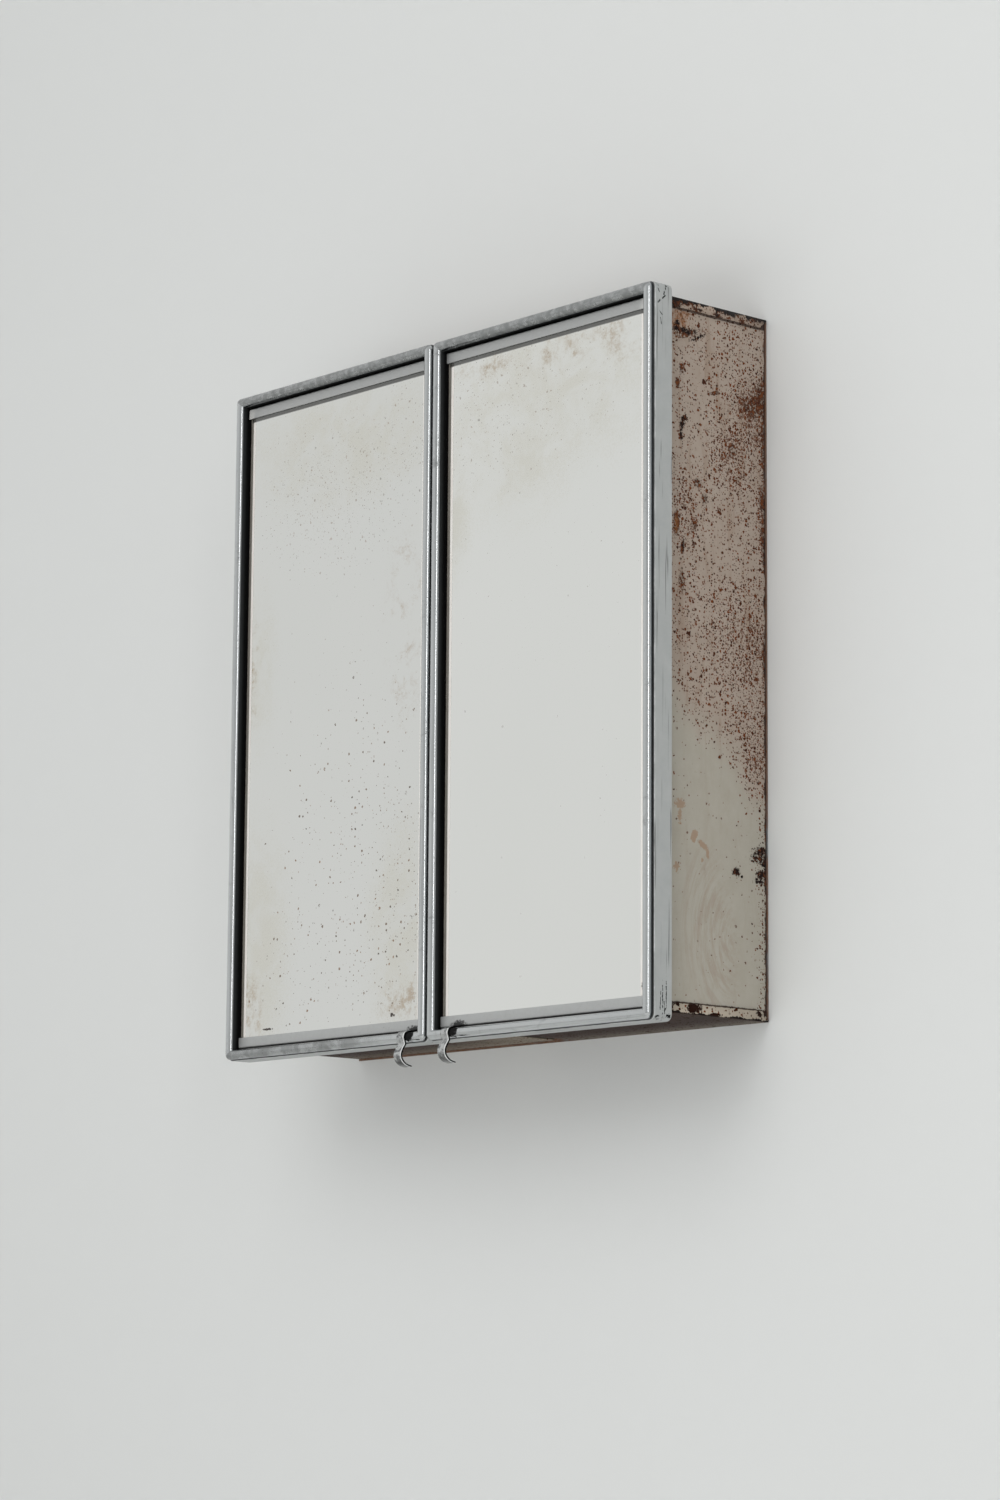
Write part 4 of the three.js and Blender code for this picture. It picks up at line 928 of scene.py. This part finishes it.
def door_frame(hand, side):
    """The section is spun round the door, then each ring of it is set at its place on the rails."""
    points = frame_section()
    rings = 4 * (CORNER_STEPS + 2)
    bm = bmesh.new()
    reach = 1.0
    loop = [bm.verts.new((reach - d, y, 0)) for d, y in points]
    edges = [bm.edges.new((a, b)) for a, b in zip(loop, loop[1:] + loop[:1])]
    bmesh.ops.spin(bm, geom=loop + edges, cent=(0, 0, 0), axis=(0, 1, 0), dvec=(0, 0, 0), angle=2 * math.pi,
                   steps=rings, use_merge=True, use_duplicate=False)
    step_angle = 2 * math.pi / rings
    for v in bm.verts:
        deep = reach - math.hypot(v.co.x, v.co.z)
        ring = round((math.atan2(-v.co.z, v.co.x) % (2 * math.pi)) / step_angle) % rings
        x, z = rail_place(deep, *divmod(ring, CORNER_STEPS + 2))
        v.co = Vector((side * DOOR_CENTRE_X + x, v.co.y, z))
    bmesh.ops.remove_doubles(bm, verts=bm.verts[:], dist=2e-6)
    bmesh.ops.recalc_face_normals(bm, faces=bm.faces[:])
    return finished("door_frame_" + hand + "_beaded", bm, [FRAME_METAL[hand]], hand + "_door",
                    "door_frame_" + hand, smooth=32)


# ---------------------------------------------------------------- mirrors, channels and pulls
def mirror(hand):
    low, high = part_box("mirror_" + hand)
    deep = GLASS_BEVEL_DEPTH
    bm = bmesh.new()
    bmesh.ops.create_cube(bm, size=1)
    bmesh.ops.scale(bm, vec=(high.x - low.x, high.y - low.y - deep, high.z - low.z), verts=bm.verts[:])
    bmesh.ops.translate(bm, vec=((low.x + high.x) / 2, (low.y + deep + high.y) / 2, 0), verts=bm.verts[:])
    front = min(bm.faces, key=lambda f: f.calc_center_median().y)
    bmesh.ops.inset_individual(bm, faces=[front], thickness=GLASS_BEVEL, use_even_offset=True)
    bmesh.ops.translate(bm, vec=(0, -deep, 0), verts=front.verts[:])
    for face in bm.faces:
        face.material_index = 1 if face.calc_center_median().y > high.y - 1e-5 else 0
    return finished("mirror_" + hand + "_bevelled", bm, [MIRROR[hand], MIRROR_BACK], hand + "_door",
                    "mirror_" + hand, edge=0.12 * MM, smooth=5)


def channel(hand, where):
    node = "mirror_channel_" + where + "_" + hand
    low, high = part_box(node)
    up = 1 if where == "top" else -1
    sheet = 0.9 * MM
    inner, outer = (low.z, high.z) if up > 0 else (high.z, low.z)
    web = outer - up * sheet
    soft, tight = 1.3 * MM, 0.4 * MM
    outline = [(low.y, inner, 0.2 * MM), (low.y, outer, soft), (high.y, outer, soft), (high.y, inner, 0),
               (high.y - sheet, inner, 0), (high.y - sheet, web, tight), (low.y + sheet, web, tight),
               (low.y + sheet, inner, 0)]
    return finished(node + "_folded", folded(outline, "x", low.x, high.x), [CHANNEL_METAL], hand + "_door",
                    node, edge=0.12 * MM)


def smooth_line(points, per_span):
    """Points along a smooth line through the given points."""
    ends = [2 * points[0] - points[1]] + points + [2 * points[-1] - points[-2]]
    line = []
    for p0, p1, p2, p3 in zip(ends, ends[1:], ends[2:], ends[3:]):
        for i in range(per_span):
            t = i / per_span
            line.append(0.5 * (2 * p1 + (p2 - p0) * t + (2 * p0 - 5 * p1 + 4 * p2 - p3) * t * t
                               + (3 * p1 - p0 - 3 * p2 + p3) * t * t * t))
    return line + [points[-1]]


def pull_tab(hand):
    node = "pull_tab_" + hand
    low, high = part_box(node)
    sheet = 1 * MM
    gap, bead = -INNER_HALF_HEIGHT + 0.8 * MM, -INNER_HALF_HEIGHT - BEAD_RADIUS
    wrap = BEAD_RADIUS + FIT + sheet / 2
    tip = low.z + sheet / 2
    edge = -DOOR_HALF_HEIGHT
    places = [(7 * MM, gap), (3.5 * MM, gap), (0.4 * MM, (gap + bead + wrap) / 2 + 0.1 * MM),
              (-wrap * 0.72, bead + wrap * 0.72), (-wrap - 0.1 * MM, bead),
              (-wrap * 0.84, bead - wrap * 0.64), (-wrap * 0.72, edge - 0.8 * MM),
              (-wrap - 1 * MM, edge - 4.6 * MM), (-wrap - 2.9 * MM, edge - 9.4 * MM),
              (-wrap - 1.6 * MM, tip + 5 * MM), (-wrap + 2.6 * MM, tip + 1.5 * MM), (-wrap + 8.2 * MM, tip)]
    line = smooth_line([Vector((BEAD_FOOT_Y + y, z)) for y, z in places], 5)
    bm = bmesh.new()
    chain = [bm.verts.new((low.x, p.x, p.y)) for p in line]
    edges = [bm.edges.new(pair) for pair in zip(chain, chain[1:])]
    pulled = bmesh.ops.extrude_edge_only(bm, edges=edges)["geom"]
    bmesh.ops.translate(bm, verts=[v for v in pulled if isinstance(v, bmesh.types.BMVert)],
                        vec=(high.x - low.x, 0, 0))
    bmesh.ops.recalc_face_normals(bm, faces=bm.faces[:])
    piece = finished(node + "_bent", bm, [PULL_STEEL], hand + "_door", node, smooth=60)
    wall = piece.modifiers.new("strip thickness", "SOLIDIFY")
    wall.thickness = sheet
    wall.offset = 0
    wall.use_even_offset = True
    soften = piece.modifiers.new("rolled edges", "BEVEL")
    soften.width = 0.32 * MM
    soften.segments = 3
    soften.limit_method = "ANGLE"
    soften.angle_limit = math.radians(60)
    return piece


# ---------------------------------------------------------------- body
def side_panel(hand, side):
    node = "side_panel_" + hand
    low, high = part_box(node)
    outer, inner = side * BODY_SIDE, side * (BODY_SIDE - SHEET)
    front_lip, rear_lip = inner - side * FRONT_RETURN, inner - side * REAR_RETURN
    wide, tight = 1.9 * MM, 0.7 * MM
    outline = [(outer, low.y, wide), (outer, high.y, wide), (rear_lip, high.y, 0),
               (rear_lip, high.y - SHEET, 0), (inner, high.y - SHEET, tight), (inner, low.y + SHEET, tight),
               (front_lip, low.y + SHEET, 0), (front_lip, low.y, 0)]
    return finished(node + "_folded", folded(outline, "z", low.z, high.z), [SIDE_PAINT], "cabinet", node,
                    edge=0.15 * MM)


def pull_down(bm, chosen, drop):
    """Folds a strip off the chosen border edges."""
    pulled = bmesh.ops.extrude_edge_only(bm, edges=chosen)["geom"]
    verts = [v for v in pulled if isinstance(v, bmesh.types.BMVert)]
    bmesh.ops.translate(bm, verts=verts, vec=(0, 0, drop))
    return verts


def lapped_panel(node, material, x_from, x_to, sheet_z, inward, seam=None):
    """Top or bottom panel: flanges lap the sides, a lip stiffens the front. inward is -1 or 1."""
    bm = bmesh.new()
    bmesh.ops.create_grid(bm, x_segments=1, y_segments=1, size=0.5)
    bmesh.ops.scale(bm, vec=(x_to - x_from, PANEL_REAR_Y - BODY_FRONT_Y, 1), verts=bm.verts[:])
    bmesh.ops.translate(bm, vec=((x_from + x_to) / 2, (PANEL_REAR_Y + BODY_FRONT_Y) / 2, sheet_z),
                        verts=bm.verts[:])
    start = BODY_FRONT_Y + FLANGE_SETBACK
    crossings = (-LIP_REACH, LIP_REACH) + (seam or ())
    cuts = [((0, start, 0), (0, 1, 0))] + [((x, 0, 0), (1, 0, 0)) for x in crossings if x_from < x < x_to]
    for point, across in cuts:
        bmesh.ops.bisect_plane(bm, geom=bm.verts[:] + bm.edges[:] + bm.faces[:], plane_co=point,
                               plane_no=across)
    lip_from = max(-LIP_REACH, seam[-1] if seam else x_from)
    lip_to = min(LIP_REACH, x_to)

    def on_lip(v):
        return abs(v.co.y - BODY_FRONT_Y) < CLOSE and lip_from - CLOSE <= v.co.x <= lip_to + CLOSE

    def on_flank(v):
        return abs(abs(v.co.x) - FLANGE_FACE) < CLOSE and v.co.y > start - CLOSE

    front = [e for e in bm.edges if all(on_lip(v) for v in e.verts)]
    flanks = [e for e in bm.edges if all(on_flank(v) for v in e.verts)]
    pull_down(bm, front, inward * FRONT_RETURN)
    flange = pull_down(bm, flanks, inward * FLANGE_HEIGHT)
    folds = [e for e in bm.edges if len(e.link_faces) == 2 and abs(e.calc_face_angle(0)) > 1]
    nose = [v for v in flange if abs(v.co.y - start) < CLOSE]
    heel = [v for v in flange if abs(v.co.y - PANEL_REAR_Y) < CLOSE]
    bmesh.ops.bevel(bm, geom=nose, offset=FLANGE_SWEEP, affect="VERTICES", segments=6, profile=0.5,
                    material=-1)
    bmesh.ops.bevel(bm, geom=heel, offset=FLANGE_MITRE, affect="VERTICES", segments=1, profile=0.5,
                    material=-1)
    bmesh.ops.bevel(bm, geom=[e for e in folds if e.is_valid], offset=FOLD_ROUNDING, affect="EDGES",
                    segments=4, profile=0.5, material=-1)
    if seam:
        first, second = seam
        for v in bm.verts:
            if v.co.x < first + CLOSE:
                v.co.z += SEAM_LIFT
        for v in bm.verts:
            if v.co.x < second - CLOSE:
                v.co.y = max(v.co.y, BODY_FRONT_Y + SHEET + FIT)
        step = []
        for e in bm.edges:
            start_x, end_x = (v.co.x for v in e.verts)
            across = abs(start_x - end_x) < CLOSE and min(abs(start_x - first), abs(start_x - second)) < CLOSE
            if across and len(e.link_faces) == 2:
                step.append(e)
        bmesh.ops.bevel(bm, geom=step, offset=SEAM_ROUNDING, affect="EDGES", segments=3, profile=0.5,
                        material=-1)
    bmesh.ops.recalc_face_normals(bm, faces=bm.faces[:])
    widest = max(bm.faces, key=lambda f: f.calc_area())
    if widest.normal.z * inward > 0:
        bmesh.ops.reverse_faces(bm, faces=bm.faces[:])
    piece = finished(node + "_lapped", bm, [material], "cabinet", node, smooth=40)
    wall = piece.modifiers.new("sheet thickness", "SOLIDIFY")
    wall.thickness = SHEET
    wall.offset = -1
    wall.use_even_offset = True
    return piece


def shelf(node):
    low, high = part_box(node)
    sheet, lip, upstand = 1 * MM, 10 * MM, 8 * MM
    top = high.z - upstand
    wide, tight = 1.6 * MM, 0.6 * MM
    outline = [(low.y, top, wide), (high.y - sheet, top, tight), (high.y - sheet, high.z, 0),
               (high.y, high.z, 0), (high.y, top - sheet, wide), (low.y + sheet, top - sheet, tight),
               (low.y + sheet, top - lip, 0), (low.y, top - lip, 0)]
    return finished(node + "_folded", folded(outline, "x", low.x, high.x), [INNER_PAINT], "cabinet", node,
                    edge=0.15 * MM)


def shelf_ledge(node, side):
    low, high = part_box(node)
    wall, inner = (high.x, low.x) if side > 0 else (low.x, high.x)
    wide, tight = 1.8 * MM, 0.6 * MM
    outline = [(wall, high.z, wide), (wall, low.z, 0), (wall - side * SHEET, low.z, 0),
               (wall - side * SHEET, high.z - SHEET, tight), (inner, high.z - SHEET, 0), (inner, high.z, 0)]
    return finished(node + "_folded", folded(outline, "y", low.y, high.y), [INNER_PAINT], "cabinet", node,
                    edge=0.15 * MM)


def catch_tongue(node, hand):
    low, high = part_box(node)
    sheet = 1.5 * MM
    outline = [(low.y, low.z, 0), (low.y, high.z, 2.2 * MM), (high.y, high.z, 0.6 * MM),
               (high.y, high.z - sheet, 0.6 * MM), (low.y + sheet, high.z - sheet, 0.7 * MM),
               (low.y + sheet, low.z, 0)]
    return finished(node + "_folded", folded(outline, "x", low.x, high.x), [SPRING_STEEL], hand + "_door",
                    node, edge=0.15 * MM)


def bumper(node, hand):
    """A turned rubber foot with a rounded rim and a dished middle."""
    low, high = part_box(node)
    middle, radius = (low + high) / 2, (high.x - low.x) / 2
    rear, front = high.y, low.y
    profile = [(0, rear - 0.5 * MM), (0.45, rear - 0.5 * MM), (0.6, rear - 0.1 * MM), (0.68, rear),
               (0.76, rear - 0.1 * MM), (0.82, rear - 0.5 * MM), (0.96, front + 1.2 * MM),
               (1, front + 0.4 * MM), (1, front), (0, front)]
    bm = bmesh.new()
    chain = [bm.verts.new((middle.x + share * radius, y, middle.z)) for share, y in profile]
    edges = [bm.edges.new(pair) for pair in zip(chain, chain[1:])]
    bmesh.ops.spin(bm, geom=chain + edges, cent=(middle.x, 0, middle.z), axis=(0, 1, 0), dvec=(0, 0, 0),
                   angle=2 * math.pi, steps=32, use_merge=True, use_duplicate=False)
    bmesh.ops.remove_doubles(bm, verts=bm.verts[:], dist=CLOSE)
    bmesh.ops.recalc_face_normals(bm, faces=bm.faces[:])
    return finished(node + "_turned", bm, [RUBBER], hand + "_door", node, smooth=50)


left_low, left_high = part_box("bottom_panel_left")
right_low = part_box("bottom_panel_right")[0]
lapped_panel("top_panel", TOP_PAINT, -FLANGE_FACE, FLANGE_FACE, BODY_TOP, -1)
lapped_panel("bottom_panel_left", BOTTOM_PAINT, -FLANGE_FACE, left_high.x, left_low.z, 1)
lapped_panel("bottom_panel_right", BOTTOM_PAINT, right_low.x, FLANGE_FACE, BODY_BOTTOM, 1, seam=SEAM)
softened_copy("back_panel", [BARE_STEEL], "cabinet", 0.2 * MM)
for level in ("upper", "lower"):
    shelf("shelf_" + level)
for hand, side in HANDS:
    door = hand + "_door"
    door_frame(hand, side)
    mirror(hand)
    channel(hand, "top")
    channel(hand, "bottom")
    pull_tab(hand)
    side_panel(hand, side)
    catch_tongue("catch_tongue_" + hand, hand)
    softened_copy("mirror_card_" + hand, [CARD], door, 0.1 * MM)
    softened_copy("door_back_plate_" + hand, [INNER_PAINT], door, 0.3 * MM)
    softened_copy("hanger_plate_" + hand, [BARE_STEEL], "cabinet", 0.4 * MM)
    softened_copy("catch_clip_" + hand, [SPRING_STEEL], "cabinet", 0.12 * MM)
    for level in ("upper", "lower"):
        shelf_ledge("shelf_ledge_" + level + "_" + hand, side)
        bumper("bumper_" + level + "_" + hand, hand)
        softened_copy("hinge_leaf_body_" + level + "_" + hand, [HINGE_STEEL], "cabinet",
                      0.15 * MM)
        softened_copy("hinge_leaf_door_" + level + "_" + hand, [HINGE_STEEL], door, 0.15 * MM)
        softened_copy("hinge_pin_" + level + "_" + hand, [HINGE_STEEL], "cabinet", 0.25 * MM)

# ---------------------------------------------------------------- wall, floor, light and camera
FLOOR_Z = -1.32


def plain(name, colour, see_through_rear):
    """Flat studio paint. The wall isn't seen from behind, so that the cabinet's back can be looked at."""
    material = bpy.data.materials.new(name)
    material.use_nodes = True
    tree = material.node_tree
    shader = tree.nodes["Principled BSDF"]
    feed(tree, shader, Base_Color=colour, Roughness=0.9)
    if see_through_rear:
        clear = put(tree, "BsdfTransparent")
        rear = put(tree, "NewGeometry").outputs["Backfacing"]
        both = put(tree, "MixShader", {0: rear, 1: shader.outputs[0], 2: clear.outputs[0]})
        tree.links.new(both.outputs[0], tree.nodes["Material Output"].inputs["Surface"])
    return material


def stage_sheet(name, corners, material, hole=None):
    bm = bmesh.new()
    outer = bm.faces.new([bm.verts.new(c) for c in corners])
    if hole:
        bmesh.ops.inset_individual(bm, faces=[outer], thickness=0.01)
        for v, c in zip(outer.verts[:], hole):
            v.co = c
        bmesh.ops.delete(bm, geom=[outer], context="FACES_ONLY")
    mesh = bpy.data.meshes.new(name)
    bm.to_mesh(mesh)
    bm.free()
    mesh.materials.append(material)
    sheet = bpy.data.objects.new(name, mesh)
    bpy.context.scene.collection.objects.link(sheet)


WALL_Y = 0.0004
WALL_REACH, WALL_TOP, FLOOR_REACH = 6.0, 4.0, 8.0
HOLE_SIDE, HOLE_LOW, HOLE_HIGH = 258.2 * MM, -289.0 * MM, 293.8 * MM     # just inside the cabinet's outline
stage_sheet("wall", [(-WALL_REACH, WALL_Y, FLOOR_Z), (WALL_REACH, WALL_Y, FLOOR_Z),
                     (WALL_REACH, WALL_Y, WALL_TOP), (-WALL_REACH, WALL_Y, WALL_TOP)],
            plain("wall paint", (0.685, 0.695, 0.69, 1), True),
            hole=[(-HOLE_SIDE, WALL_Y, HOLE_LOW), (HOLE_SIDE, WALL_Y, HOLE_LOW),
                  (HOLE_SIDE, WALL_Y, HOLE_HIGH), (-HOLE_SIDE, WALL_Y, HOLE_HIGH)])
stage_sheet("floor", [(x * FLOOR_REACH, y * FLOOR_REACH, FLOOR_Z) for x,
                      y in ((-1, -1), (1, -1), (1, 1), (-1, 1))],
            plain("floor paint", (0.82, 0.82, 0.81, 1), False))


def softbox(name, place, target, size, radiance):
    lamp = bpy.data.lights.new(name, "AREA")
    lamp.shape = "RECTANGLE"
    lamp.size, lamp.size_y = size
    lamp.energy = radiance * math.pi * size[0] * size[1]
    holder = bpy.data.objects.new(name, lamp)
    holder.location = place
    holder.rotation_euler = (Vector(target) - Vector(place)).to_track_quat("-Z", "Y").to_euler()
    bpy.context.scene.collection.objects.link(holder)
    return holder


softbox("key light", (1.3, -3.8, 2.4), (0, 0, 0), (3.0, 3.0), 2.12).visible_glossy = False
softbox("strip light", (3.5, -2.4, 0.8), (0.2, -0.1, 0.0), (0.42, 2.4), 4.5)
softbox("low fill", (0.6, -3.0, -0.9), (0, 0, -0.2), (3.0, 0.8), 2.2).visible_glossy = False
softbox("rear light", (0.8, 3.2, 1.6), (0, 0, 0), (2.4, 2.4), 1.6)

# The studio is palest to the left, where the mirrors look, and darker to the right and above.
world = bpy.data.worlds.new("studio")
world.use_nodes = True
sky = world.node_tree
toward = put(sky, "SeparateXYZ", {0: put(sky, "TexCoord").outputs["Generated"]}).outputs
pale = fade(sky, scaled(sky, toward[2], -0.25, times(sky, toward[0], -1.0)), -0.25, 0.5)
room = blend_colour(sky, pale, (0.54, 0.545, 0.54, 1), (0.695, 0.70, 0.69, 1))
sky.links.new(room, sky.nodes["Background"].inputs["Color"])
bpy.context.scene.world = world
bpy.context.scene.view_settings.view_transform = "Standard"

CAMERA_PLACE = (2.6090, -2.3794, -0.6179)
azimuth, elevation, roll = (math.radians(a) for a in (-48.404, 9.331, 0.412))
forward = Vector((math.sin(azimuth) * math.cos(elevation), math.cos(azimuth) * math.cos(elevation),
                  math.sin(elevation)))
level_right = Vector((math.cos(azimuth), -math.sin(azimuth), 0))
level_up = level_right.cross(forward)
right = math.cos(roll) * level_right + math.sin(roll) * level_up
up = -math.sin(roll) * level_right + math.cos(roll) * level_up
lens = bpy.data.cameras.new("camera")
lens.lens = 99.15
lens.sensor_width = 36
camera = bpy.data.objects.new("camera", lens)
facing = Matrix((right, up, -forward)).transposed().to_4x4()
camera.matrix_world = Matrix.Translation(CAMERA_PLACE) @ facing
bpy.context.scene.collection.objects.link(camera)
bpy.context.scene.camera = camera
